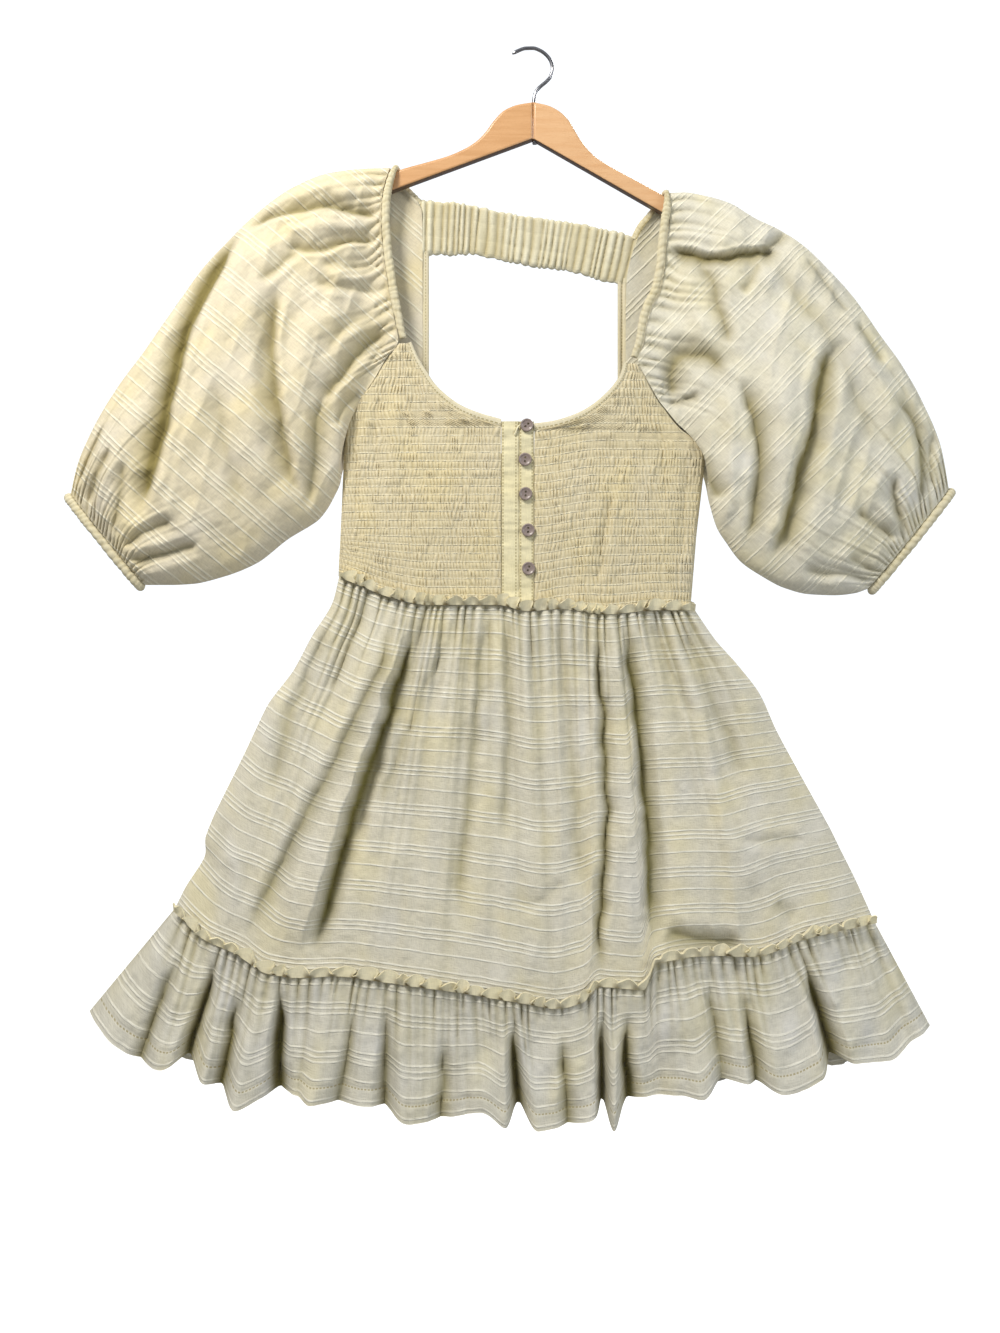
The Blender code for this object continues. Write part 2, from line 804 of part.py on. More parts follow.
def ruffle_panel(name, side, lines, downs, seam_row, cloth):
    """A hem ruffle panel from lines of (seam x, hem x, hem drop, rise), hung from the skirt's lowest row."""
    depth = HEM_FRONT_DEPTH if side < 0 else HEM_BACK_DEPTH
    seam_xs, seam_ys, seam_drops = np.array(seam_row).T
    outer, inner = [], []
    for down in downs:
        near, far = [], []
        for c, (seam_x, hem_x, hem_drop, rise) in enumerate(lines):
            seam_depth = abs(np.interp(seam_x, seam_xs, seam_ys)) - CLOTH
            seam_drop = np.interp(seam_x, seam_xs, seam_drops) + SEAM_GAP
            across = (2 * hem_x - lines[0][1] - lines[-1][1]) / (lines[-1][1] - lines[0][1])
            hem_depth = SEAM_GAP / 2 + depth * max(1 - across**2, 0) ** SKIRT_ROUND + rise
            share = ease(down * 0.75) / ease(0.75)
            gathered = 0 < down < RUFFLE_GATHER_REACH and 0 < c < len(lines) - 1
            pinch = GATHER_DEPTH * (c % 2) * (1 - down / RUFFLE_GATHER_REACH) if gathered else 0.0
            d = max(seam_depth + (hem_depth - seam_depth) * share + pinch, SEAM_GAP / 2)
            x = seam_x + (hem_x - seam_x) * down
            drop = seam_drop + (hem_drop - seam_drop) * down
            near.append((x, side * (d + CLOTH), drop))
            far.append((x, side * d, drop))
        outer.append(near)
        inner.append(far)
    wall(name, outer, inner, cloth)


def frill(name, side, waves, base, behind, foot_clear, cloth):
    """A wavy strip that stands up from a seam. base gives drop at x, and behind the face at its back."""
    count = 2 * waves
    outer, inner = [], []
    for high in (1, 0):
        near, far = [], []
        for c, x in enumerate(np.linspace(*base["span"], count + 1)):
            height = high * (FRILL_HEIGHT + FRILL_UNEVEN * math.sin(2.4 * c) * math.cos(0.31 * c))
            drop = base["drop"](x) - SEAM_GAP - height
            wave = FRILL_WAVE * (1.2 + 0.6 * math.sin(1.7 * c)) * (1 if high else FRILL_FOOT)
            d = behind(x) + (FRILL_CLEAR if high else foot_clear) + wave * ((c + 1) % 2)
            near.append((x, side * (d + FRILL_CLOTH), drop))
            far.append((x, side * d, drop))
        outer.append(near)
        inner.append(far)
    wall(name, outer, inner, cloth)


def waist_frills(cloth):
    span = (SKIRT_LINES["waist_x"][0] + 0.5, SKIRT_LINES["waist_x"][-1])
    base = {"span": span, "drop": waist_drop}
    sides = (("front", -1, WAIST_FRILL_WAVES, FRONT_DEPTH), ("back", 1, BACK_WAIST_FRILL_WAVES, BACK_DEPTH))
    for name, side, waves, depth in sides:
        def behind(x):
            return body_depth(x, WAIST_DROP, depth) + CLOTH + SHIRR_PUFF

        frill(f"waist_frill_{name}", side, waves, base, behind, WAIST_FRILL_FOOT_CLEAR, cloth)


def ruffle_frill(name, side, waves, rows, cloth):
    xs, _, drops = np.array(rows[-1]).T
    faces = [np.abs(np.array(row).T[1]) for row in rows[-2:]]
    places = [np.array(row).T[0] for row in rows[-2:]]

    def behind(x):
        near = x + np.linspace(-FRILL_REACH, FRILL_REACH, 5)
        return max(np.interp(near, places[k], faces[k]).max() for k in (0, 1))

    base = {"span": (xs[0] + 1.0, xs[-1] - 1.0), "drop": lambda x: np.interp(x, xs, drops)}
    frill(name, side, waves, base, behind, FRILL_CLEAR, cloth)


def shares_round(middle):
    """Shares across one side of a sleeve: close together at its two outlines, even between them."""
    near = np.array((0.0, 0.012, 0.045))
    return list(near) + list(np.linspace(0.09, 0.91, middle)) + list(1 - near[::-1])


def sleeve_ring(lines, armholes, folds, station, inset, shares):
    """Points once round a sleeve, across its front from the upper outline to the lower, and back behind."""
    values = {name: along(lines, name, station / (len(lines["front"]) - 1)) for name in lines}
    high = np.array((values["high_x"], values["high_drop"]))
    low = np.array((values["low_x"], values["low_drop"]))
    chord = (low - high) / np.linalg.norm(low - high)
    ring = []
    for side, edge, share_list in zip((-1, 1), armholes, shares):
        ends = np.array([(edge["x"][k], edge["drop"][k]) for k in (0, -1)])
        lengths = np.concatenate([[0], np.cumsum(np.hypot(np.diff(edge["x"]), np.diff(edge["drop"])))])
        lengths /= lengths[-1]
        bow_share = max(1 - station / SLEEVE_BOW_REACH, 0) ** 1.5
        places = share_list[:-1] if side < 0 else share_list[::-1][:-1]
        for share in places:
            start, end = high + chord * inset, low - chord * inset
            bow = np.array([np.interp(share, lengths, edge[axis]) for axis in ("x", "drop")])
            bow -= ends[0] + (ends[1] - ends[0]) * share
            x, drop = start + (end - start) * share + bow * bow_share
            cap = min(4 * share * (1 - share) / 0.2, 1) ** NECK_ROUND
            roundness = NECK_ROUND + (SLEEVE_ROUND - NECK_ROUND) * ease(station / SLEEVE_BOW_REACH)
            body = body_depth(x, drop, FRONT_DEPTH if side < 0 else BACK_DEPTH) + CLOTH - inset
            full = (values["front" if side < 0 else "back"] - inset) * (4 * share * (1 - share)) ** roundness
            d = body * cap + (full - body * cap) * ease(station / 3)
            rise = fold_line(folds[side > 0], x, drop) * ease(station / 1.5) * cap
            rise *= ease((len(lines["front"]) - 1 - station) / 1.5) * ease(full / 14)
            ring.append((x, side * max(d + rise, 0.3 * d), drop))
    return ring


def sleeve(name, lines, armholes, folds, cloth):
    shares = shares_round(SLEEVE_FRONT_SHARES), shares_round(SLEEVE_BACK_SHARES)
    sheets = []
    for inset in (0, CLOTH):
        stations = range(len(lines["front"]))
        sheets.append([sleeve_ring(lines, armholes, folds, s, inset, shares) for s in stations])
    tube_wall(name, *sheets, cloth)


def casings(cloth):
    for side, path in (("left", CASING_LEFT), ("right", CASING_RIGHT)):
        shares = np.linspace(0, 1, 2 * CASING_GATHERS + 1)
        centres = [[along(path, name, s) for name in ("x", "y", "drop")] for s in shares]
        radii = [along(path, "radius", s) - CASING_PUFF * (k % 2) for k, s in enumerate(shares)]
        gathered_cord(f"neck_casing_{side}", centres, radii, (1, 0, 0), cloth, False)
    for side, lines in (("left", SLEEVE_LEFT), ("right", SLEEVE_RIGHT)):
        high = np.array((lines["high_x"][-1], lines["high_drop"][-1]))
        low = np.array((lines["low_x"][-1], lines["low_drop"][-1]))
        chord = (low - high) / np.linalg.norm(low - high)
        outward = np.array((-chord[1], chord[0])) if side == "left" else np.array((chord[1], -chord[0]))
        middle = (high + low) / 2 + outward * CUFF_STEP
        reach = np.linalg.norm(low - high) / 2 - CUFF_RADIUS / 2
        depth = (lines["front"][-1] + lines["back"][-1]) / 2 - CUFF_RADIUS / 2
        centres, radii = [], []
        for k in range(2 * CUFF_GATHERS):
            angle = math.tau * k / (2 * CUFF_GATHERS)
            x, drop = middle + chord * reach * math.cos(angle)
            centres.append((x, depth * math.sin(angle), drop))
            radii.append(CUFF_RADIUS - CASING_PUFF * (k % 2))
        gathered_cord(f"cuff_{side}", centres, radii, (outward[0], 0, outward[1]), cloth, True)


def strap_place(line, share):
    return np.array([along(STRAP_LINES, f"{line}_{axis}", share) for axis in ("x", "drop")])


def back_strap(cloth):
    outer, inner = [], []
    count = 2 * STRAP_GATHERS
    for down in (0, 1):
        near, far = [], []
        for c, share in enumerate(np.linspace(0, 1, count + 1)):
            high, low = strap_place("high", share), strap_place("low", share)
            x, drop = high + (low - high) * down
            d = body_depth(x, drop, BACK_DEPTH)
            near.append((x, d + STRAP_CLOTH + STRAP_PUFF * (c % 2), drop))
            far.append((x, d - STRAP_INNER_PUFF * (c % 2), drop))
        outer.append(near)
        inner.append(far)
    wall("back_strap", outer, inner, cloth)


def as_mesh(item):
    """A curve made a mesh object, with its caps welded."""
    graph = bpy.context.evaluated_depsgraph_get()
    data = bpy.data.meshes.new_from_object(item.evaluated_get(graph))
    name = item.name
    made = bpy.data.objects.new(name + "_mesh", data)
    made.matrix_world = item.matrix_world
    mesh = bmesh.new()
    mesh.from_mesh(data)
    bmesh.ops.remove_doubles(mesh, verts=mesh.verts, dist=1e-6)
    bmesh.ops.recalc_face_normals(mesh, faces=mesh.faces)
    mesh.to_mesh(data)
    mesh.free()
    bpy.data.objects.remove(item)
    made.name = name
    part.objects.link(made)
    return made


def hanger_arm(name, lines, end_bottom, side, wood, bore):
    """One arm: a flat outline with rounded edges, drilled for the hook at the joint."""
    outs, tops = lines["out"], lines["top"]
    places = [(out, -top) for out, top in zip(outs, tops)]
    radius = (end_bottom - tops[-1]) / 2
    end_z = -tops[-1] - radius
    places += [(outs[-1] + radius * math.cos(a), end_z + radius * math.sin(a)) for a in (0.8, 0.0, -0.8)]
    places += [(outs[-1], -end_bottom), (outs[0], -HANGER_JOINT_BOTTOM)]
    curve = bpy.data.curves.new(name, "CURVE")
    curve.dimensions = "2D"
    curve.fill_mode = "BOTH"
    curve.extrude = (WOOD_THICK / 2 - WOOD_EDGE) * MM
    curve.bevel_depth = WOOD_EDGE * MM
    curve.bevel_resolution = 1
    curve.offset = -WOOD_EDGE * MM
    spline = curve.splines.new("POLY")
    spline.points.add(len(places) - 1)
    for point, (x, z) in zip(spline.points, places):
        point.co = (side * x * MM, z * MM, 0, 1)
    spline.use_cyclic_u = True
    item = bpy.data.objects.new(name, curve)
    item.rotation_euler = (math.radians(90), 0, 0)
    part.objects.link(item)
    bpy.context.view_layer.update()
    arm = as_mesh(item)
    arm.data.materials.append(wood)
    arm.data.shade_smooth()
    arm.data.set_sharp_from_angle(angle=math.radians(50))
    cut = arm.modifiers.new("bore", "BOOLEAN")
    cut.object = bore
    cut.operation = "DIFFERENCE"


def drill(name, radius, depth, location):
    """A hidden cylinder that cuts a hole."""
    bpy.ops.mesh.primitive_cylinder_add(vertices=8, radius=radius * MM, depth=depth * MM, location=location)
    cutter = bpy.context.object
    cutter.name = name
    cutter.hide_render = True
    cutter.display_type = "WIRE"
    for collection in list(cutter.users_collection):
        collection.objects.unlink(cutter)
    cutters.objects.link(cutter)
    return cutter


def wire(name, points, radius, metal):
    """A round wire on a smooth line through the points."""
    curve = bpy.data.curves.new(name, "CURVE")
    curve.dimensions = "3D"
    curve.bevel_depth = radius * MM
    curve.bevel_resolution = 1
    curve.use_fill_caps = True
    spline = curve.splines.new("POLY")
    spline.points.add(len(points) - 1)
    for point, (x, y, drop) in zip(spline.points, points):
        point.co = (x * MM, y * MM, -drop * MM, 1)
    curve.materials.append(metal)
    item = bpy.data.objects.new(name, curve)
    part.objects.link(item)


def hanger(wood, metal):
    wire_x = HOOK_WIRE["x"][-1]
    bore = drill("hook_bore", WIRE_BORE_RADIUS, 2 * WIRE_BORE_DEPTH, (wire_x * MM, 0, -HANGER_TOP_DROP * MM))
    hanger_arm("hanger_arm_left", ARM_LEFT, LEFT_ARM_END_BOTTOM, -1, wood, bore)
    hanger_arm("hanger_arm_right", ARM_RIGHT, RIGHT_ARM_END_BOTTOM, 1, wood, bore)
    shares = np.linspace(0, 1, HOOK_STEPS + 1)
    points = [(along(HOOK_WIRE, "x", s), 0, along(HOOK_WIRE, "drop", s)) for s in shares]
    wire("hook", points, WIRE_RADIUS, metal)


def buttons(resin):
    """Five round buttons with two holes each, sharing one mesh."""
    bpy.ops.mesh.primitive_cylinder_add(vertices=16, radius=BUTTON_RADIUS * MM, depth=BUTTON_THICK * MM)
    blank = bpy.context.object
    edge = blank.modifiers.new("edge", "BEVEL")
    edge.width = BUTTON_BEVEL * MM
    edge.segments = 1
    for name, side in (("button_hole_low", -1), ("button_hole_high", 1)):
        location = (0, side * BUTTON_HOLE_SPACING / 2 * MM, 0)
        hole = drill(name, BUTTON_HOLE_RADIUS, 4 * BUTTON_THICK, location)
        cut = blank.modifiers.new("hole", "BOOLEAN")
        cut.object = hole
        cut.operation = "DIFFERENCE"
    bpy.context.view_layer.update()
    graph = bpy.context.evaluated_depsgraph_get()
    data = bpy.data.meshes.new_from_object(blank.evaluated_get(graph))
    data.name = "button"
    data.materials.clear()
    data.materials.append(resin)
    bpy.data.objects.remove(blank)
    for k, (x, drop, turn) in enumerate(zip(*BUTTONS.values())):
        face = body_depth(x, drop, FRONT_DEPTH) + BAND_CLOTH + SEAM_GAP
        made = bpy.data.objects.new(f"button_{k + 1}", data)
        made.location = (x * MM, -(face + BUTTON_THICK / 2) * MM, -drop * MM)
        made.rotation_euler = (math.radians(90), math.radians(turn), 0)
        part.objects.link(made)


def button_loop(cloth):
    """The narrow cord that holds the top button to the band beside it."""
    face = body_depth(TOP_LOOP["x"][0], TOP_LOOP["drop"][0], FRONT_DEPTH) + BAND_CLOTH + SEAM_GAP
    points = [(x, -face - LOOP_RADIUS, drop) for x, drop in zip(*TOP_LOOP.values())]
    wire("button_loop", points, LOOP_RADIUS, cloth)


def sleeves(cloth):
    left_edges = ARMHOLE_FRONT_LEFT, ARMHOLE_BACK_LEFT
    right_edges = ARMHOLE_FRONT_RIGHT, ARMHOLE_BACK_RIGHT
    sleeve("sleeve_left", SLEEVE_LEFT, left_edges, (SLEEVE_LEFT_FOLDS, SLEEVE_BACK_FOLDS), cloth)
    sleeve("sleeve_right", SLEEVE_RIGHT, right_edges, (SLEEVE_RIGHT_FOLDS, SLEEVE_BACK_FOLDS), cloth)


def front_ruffle_lines():
    """The table's ridges and hollows, with a place midway between each two."""
    shares = np.linspace(0, 1, 2 * len(RUFFLE_FOLDS["rise"]) - 1)
    return [[along(RUFFLE_FOLDS, name, share) for name in RUFFLE_FOLDS] for share in shares]


def back_ruffle_lines():
    """Waves round the back ruffle between the front's two side seams, deeper towards the middle."""
    lines = []
    for c, share in enumerate(np.linspace(0, 1, 2 * BACK_WAVES + 1)):
        ends = [RUFFLE_FOLDS[name][[0, -1]] @ (1 - share, share) for name in ("seam_x", "hem_x", "hem_drop")]
        seam_x, hem_x, side_drop = ends
        middle = 4 * share * (1 - share)
        fade = min(middle * 4, 1)
        rise = BACK_WAVE_DEPTH * (-1) ** c * (0.75 + 0.25 * math.sin(2.1 * c)) * fade
        drop = side_drop + (BACK_HEM_DROP - side_drop) * middle**0.7 + BACK_WAVE_DROP * (c % 2) * fade
        lines.append((seam_x, hem_x, drop, rise))
    return lines


def skirt_and_ruffle(cloth):
    sides = (
        ("front", -1, SKIRT_FRONT_ROWS, front_ruffle_lines(), RUFFLE_FRILL_WAVES),
        ("back", 1, SKIRT_BACK_ROWS, back_ruffle_lines(), BACK_RUFFLE_FRILL_WAVES),
    )
    for name, side, rows, lines, waves in sides:
        skirt = skirt_panel(f"skirt_{name}", side, rows, [line[0] for line in lines], cloth)
        ruffle_panel(f"ruffle_{name}", side, lines, RUFFLE_ROWS, skirt[-1], cloth)
        ruffle_frill(f"ruffle_frill_{name}", side, waves, skirt, cloth)
    waist_frills(cloth)


def build():
    clear_scene()
    smocked = material("shirred_cotton", (0.72, 0.65, 0.38), 0.85)
    cotton = material("slub_cotton", (0.74, 0.69, 0.50), 0.85)
    wood = material("beech_varnished", (0.76, 0.45, 0.19), 0.35)
    metal = material("steel_wire", (0.35, 0.35, 0.36), 0.25, 1.0)
    resin = material("button_resin", (0.30, 0.23, 0.21), 0.45)
    hanger(wood, metal)
    front_panel("bodice_front_left", FRONT_LEFT_EDGES, smocked)
    front_panel("bodice_front_right", FRONT_RIGHT_EDGES, smocked)
    back_panel(smocked)
    bands_and_bindings(cotton)
    buttons(resin)
    button_loop(cotton)
    sleeves(cotton)
    casings(cotton)
    back_strap(cotton)
    skirt_and_ruffle(cotton)


build()
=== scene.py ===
import math

import bmesh
import bpy
import numpy as np
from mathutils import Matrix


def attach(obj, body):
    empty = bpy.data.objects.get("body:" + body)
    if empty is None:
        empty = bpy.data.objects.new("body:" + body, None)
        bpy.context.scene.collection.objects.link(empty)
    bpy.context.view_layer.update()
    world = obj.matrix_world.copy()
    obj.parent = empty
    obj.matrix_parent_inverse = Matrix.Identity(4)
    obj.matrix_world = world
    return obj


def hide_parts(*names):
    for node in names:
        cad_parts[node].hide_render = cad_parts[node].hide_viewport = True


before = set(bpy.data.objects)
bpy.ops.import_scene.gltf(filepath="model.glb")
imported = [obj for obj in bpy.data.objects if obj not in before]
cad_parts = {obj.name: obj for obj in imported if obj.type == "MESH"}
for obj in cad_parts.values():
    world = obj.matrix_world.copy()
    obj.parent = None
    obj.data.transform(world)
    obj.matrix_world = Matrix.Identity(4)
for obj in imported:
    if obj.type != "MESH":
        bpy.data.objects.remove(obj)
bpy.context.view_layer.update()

# The studio: a pale floor far under the hem, a white surround and three soft lights. The camera stands
# square to the dress, level with its waist, so the hanger is seen a little from below.
CAMERA_X, CAMERA_DISTANCE, CAMERA_DROP = -0.032, 1.55, 0.598
FRAME_HEIGHT = 1.293
FLOOR_Z = -1.62

camera_data = bpy.data.cameras.new("camera")
camera_data.sensor_width = 36.0
camera_data.lens = camera_data.sensor_width * CAMERA_DISTANCE / FRAME_HEIGHT


def placed(name, data):
    """A new object in the scene."""
    made = bpy.data.objects.new(name, data)
    bpy.context.scene.collection.objects.link(made)
    return made


camera = placed("camera", camera_data)
camera.location = (CAMERA_X, -CAMERA_DISTANCE, -CAMERA_DROP)
camera.rotation_euler = (math.radians(90), 0, 0)
bpy.context.scene.camera = camera


def soft_light(name, place, aim, size, power, colour):
    data = bpy.data.lights.new(name, "AREA")
    data.shape = "DISK"
    data.size = size
    data.energy = power
    data.color = colour
    light = placed(name, data)
    light.location = place
    ahead = np.array(aim) - np.array(place)
    light.rotation_euler = (
        math.atan2(math.hypot(*ahead[:2]), -ahead[2]), 0, math.atan2(ahead[1], ahead[0]) - math.pi / 2
    )


soft_light("key_light", (-0.75, -0.95, 0.6), (0, 0, -0.45), 0.46, 24, (1.0, 0.96, 0.89))
soft_light("fill_light", (1.7, -1.4, -0.1), (0.1, 0, -0.65), 1.1, 14, (0.90, 0.95, 1.0))
soft_light("back_light", (0.8, 1.7, 0.6), (0, 0, -0.5), 1.0, 34, (1.0, 0.98, 0.94))

surround = bpy.data.worlds.new("surround")
surround.use_nodes = True
backdrop = surround.node_tree.nodes["Background"]
backdrop.inputs["Color"].default_value = (0.93, 0.96, 1.0, 1)
seen = surround.node_tree.nodes.new("ShaderNodeLightPath").outputs["Is Camera Ray"]
glow = surround.node_tree.nodes.new("ShaderNodeMapRange")
glow.inputs["To Min"].default_value = 0.52
glow.inputs["To Max"].default_value = 1.15
surround.node_tree.links.new(seen, glow.inputs["Value"])
surround.node_tree.links.new(glow.outputs[0], backdrop.inputs["Strength"])
bpy.context.scene.world = surround
bpy.context.scene.view_settings.view_transform = "Standard"

floor_mesh = bmesh.new()
bmesh.ops.create_grid(floor_mesh, x_segments=1, y_segments=1, size=40)
floor_data = bpy.data.meshes.new("floor")
floor_mesh.to_mesh(floor_data)
floor_mesh.free()
floor = placed("floor", floor_data)
floor.location = (0, 0, FLOOR_Z)
pale = bpy.data.materials.new("pale_floor")
pale.use_nodes = True
paint = pale.node_tree.nodes["Principled BSDF"]
paint.inputs["Base Color"].default_value = (0.4, 0.4, 0.4, 1)
paint.inputs["Roughness"].default_value = 0.9
paint.inputs["Emission Color"].default_value = (1, 1, 1, 1)
lit = pale.node_tree.nodes.new("ShaderNodeLightPath").outputs["Is Camera Ray"]
pale.node_tree.links.new(lit, paint.inputs["Emission Strength"])
floor_data.materials.append(pale)

# The hanger's two arms: flat beech, sawn to shape, rounded along the edges and clear varnished. They meet
# in a mitre under the hook, and the dress's shoulders sit on them.
MM = 0.001
WOOD_THICK = 12.0
WOOD_EDGE = 2.4
JOINT_BOTTOM = 88.0
END_TURN = 1.2
BEECH_FLECK, BEECH_PAINTED_SHADE = (0.42, 0.20, 0.07, 1), (0.10, 0.045, 0.02, 1)


def table(names, *rows):
    """The columns of a short table, by name."""
    return dict(zip(names.split(), np.array(rows, float).T))


def smooth(xs, ys, x):
    """The value at x on a smooth curve through the points, which doesn't overshoot them."""
    xs, ys, x = np.asarray(xs, float), np.asarray(ys, float), np.asarray(x, float)
    steps = np.diff(xs)
    rises = np.diff(ys) / steps
    slopes = np.concatenate([rises[:1], np.zeros(len(rises) - 1), rises[-1:]])
    same = rises[:-1] * rises[1:] > 0
    slopes[1:-1][same] = (2 * rises[:-1] * rises[1:] / np.where(same, rises[:-1] + rises[1:], 1))[same]
    i = np.clip(np.searchsorted(xs, x, side="right") - 1, 0, len(xs) - 2)
    t = (x - xs[i]) / steps[i]
    ends = ys[i] * (1 + 2 * t) * (1 - t) ** 2 + ys[i + 1] * t * t * (3 - 2 * t)
    return ends + steps[i] * t * (1 - t) * (slopes[i] * (1 - t) - slopes[i + 1] * t)


def add(tree, kind, *values, out=0, **settings):
    """A shader node with its first inputs set or linked, in order. It returns the output socket asked for."""
    made = tree.nodes.new("ShaderNode" + kind)
    for name, value in settings.items():
        setattr(made, name, value)
    for socket, value in zip(made.inputs, values):
        if isinstance(value, bpy.types.NodeSocket):
            tree.links.new(value, socket)
        elif value is not None:
            socket.default_value = value
    return made.outputs[out]


def maths(tree, operation, *values):
    return add(tree, "Math", *values, operation=operation)


def step_up(tree, value, low, high):
    """0 below low and 1 above high, or the other way round where low is the larger."""
    return add(tree, "MapRange", value, low, high, 0.0, 1.0, interpolation_type="SMOOTHSTEP")


def mixed(tree, share, first, second):
    made = tree.nodes.new("ShaderNodeMix")
    made.data_type = "RGBA"
    for socket, value in ((made.inputs[0], share), (made.inputs[6], first), (made.inputs[7], second)):
        if isinstance(value, bpy.types.NodeSocket):
            tree.links.new(value, socket)
        else:
            socket.default_value = value
    return made.outputs[2]


def new_material(name, roughness):
    made = bpy.data.materials.new(name)
    made.use_nodes = True
    made.node_tree.nodes["Principled BSDF"].inputs["Roughness"].default_value = roughness
    return made, made.node_tree, made.node_tree.nodes["Principled BSDF"]


def dress_with(item, *materials):
    item.data.materials.clear()
    for material in materials:
        item.data.materials.append(material)


def varnished_beech(name, angle, light, dark):
    made, tree, shader = new_material(name, 0.32)
    place = add(tree, "TexCoord", out=3)
    along = add(tree, "Mapping", place, (0, 0, 0), (0, angle, 0), (6.0, 60.0, 90.0))
    grain = add(tree, "TexNoise", along, None, 3.0, 6.0, 0.6)
    close = add(tree, "Mapping", place, (0, 0, 0), (0, angle, 0), (70, 300, 900))
    flecks = add(tree, "TexNoise", close, None, 3.0, 2.0)
    tone = mixed(tree, step_up(tree, grain, 0.35, 0.7), light, dark)
    tone = mixed(tree, maths(tree, "MULTIPLY", step_up(tree, flecks, 0.56, 0.72), 0.30), tone, BEECH_FLECK)
    # Painted shade: where the wood's face turns downwards its colour is mixed towards a dark brown, as if in
    # shadow
    under = step_up(tree, add(tree, "SeparateXYZ", add(tree, "NewGeometry", out=1), out=2), -0.35, -0.8)
    tone = mixed(tree, under, tone, BEECH_PAINTED_SHADE)
    tree.links.new(tone, shader.inputs["Base Color"])
    rough = add(tree, "MapRange", flecks, 0.0, 1.0, 0.26, 0.42)
    tree.links.new(rough, shader.inputs["Roughness"])
    bump = add(tree, "Bump", 0.25, 0.0002)
    tree.links.new(flecks, bump.node.inputs["Height"])
    tree.links.new(bump, shader.inputs["Normal"])
    shader.inputs["Coat Weight"].default_value = 0.35
    shader.inputs["Coat Roughness"].default_value = 0.2
    return made


ARM_LEFT = table(
    "out top",
    (0.15, 52), (15, 54.5), (28, 60), (38, 70), (46, 81), (55, 90), (66, 97), (82, 104), (104, 110.5),
    (128, 117.3), (145, 125), (180, 139), (212, 152),
)
ARM_RIGHT = table(
    "out top",
    (0.15, 52), (14, 55), (25, 60.5), (35, 70), (42, 82), (50, 94), (60, 104.5), (76, 115), (100, 128),
    (124, 141.3), (140, 152), (170, 170), (198, 187),
)
arms = (
    ("hanger_arm_left", ARM_LEFT, 166.3, -1, 0.35, (0.62, 0.345, 0.155, 1), (0.55, 0.29, 0.118, 1)),
    ("hanger_arm_right", ARM_RIGHT, 201.7, 1, -0.5, (0.69, 0.42, 0.215, 1), (0.63, 0.355, 0.165, 1)),
)
for name, lines, end_bottom, side, angle, light, dark in arms:
    outs = np.concatenate([[lines["out"][0]], np.linspace(2, lines["out"][-1], 70)])
    places = list(zip(outs, -smooth(lines["out"], lines["top"], outs)))
    radius = (end_bottom - lines["top"][-1]) / 2
    for turn in np.linspace(END_TURN, -END_TURN, 9):
        places.append(
            (outs[-1] + radius * math.cos(turn), -lines["top"][-1] - radius + radius * math.sin(turn))
        )
    places += [(outs[-1], -end_bottom), (outs[0], -JOINT_BOTTOM)]
    outline = bpy.data.curves.new(name + "_wood", "CURVE")
    outline.dimensions = "2D"
    outline.fill_mode = "BOTH"
    outline.extrude = (WOOD_THICK / 2 - WOOD_EDGE) * MM
    outline.bevel_depth = WOOD_EDGE * MM
    outline.bevel_resolution = 4
    outline.offset = -WOOD_EDGE * MM
    spline = outline.splines.new("POLY")
    spline.points.add(len(places) - 1)
    for point, (out, z) in zip(spline.points, places):
        point.co = (side * out * MM, z * MM, 0, 1)
    spline.use_cyclic_u = True
    arm = placed(name + "_wood", outline)
    arm.rotation_euler = (math.radians(90), 0, 0)
    bpy.context.view_layer.update()
    solid = bpy.data.meshes.new_from_object(arm.evaluated_get(bpy.context.evaluated_depsgraph_get()))
    solid.transform(arm.matrix_world)
    bpy.data.objects.remove(arm)
    solid.shade_smooth()
    solid.set_sharp_from_angle(angle=math.radians(40))
    arm = placed(name + "_wood", solid)
    dress_with(arm, varnished_beech(name + "_beech", angle, light, dark))
    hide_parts(name)
    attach(arm, "root")

# The hook: one length of polished steel wire, bent to a question mark and screwed down into the joint of
# the arms, with a small nut under them.
WIRE_RADIUS = 1.75
NUT_RADIUS = 2.4
NUT_LINE = ((1.6, 0, 86), (1.7, 0, 89), (1.8, 0, 91.5))
HOOK_WIRE = table(
    "x drop",
    (-20, 3.8), (-14, 0.6), (-7, -1.6), (0, -1.75), (7, 0.6), (13, 5), (17.4, 11.2), (19, 18), (17.4, 25),
    (13, 30.6), (8, 34.8), (4, 39), (1.8, 44), (1, 50), (0.9, 66),
)
polished, tree, shader = new_material("polished_steel", 0.22)
shader.inputs["Metallic"].default_value = 1.0
scuffs = add(tree, "TexNoise", add(tree, "TexCoord", out=3), None, 240.0, 4.0)
tree.links.new(mixed(tree, scuffs, (0.16, 0.16, 0.17, 1), (0.34, 0.34, 0.36, 1)), shader.inputs["Base Color"])
tree.links.new(add(tree, "MapRange", scuffs, 0.0, 1.0, 0.16, 0.34), shader.inputs["Roughness"])


def quads(grid):
    """Four-sided faces between the rows of a grid of vertex numbers."""
    return np.stack([grid[:-1, :-1], grid[:-1, 1:], grid[1:, 1:], grid[1:, :-1]], -1).reshape(-1, 4).tolist()


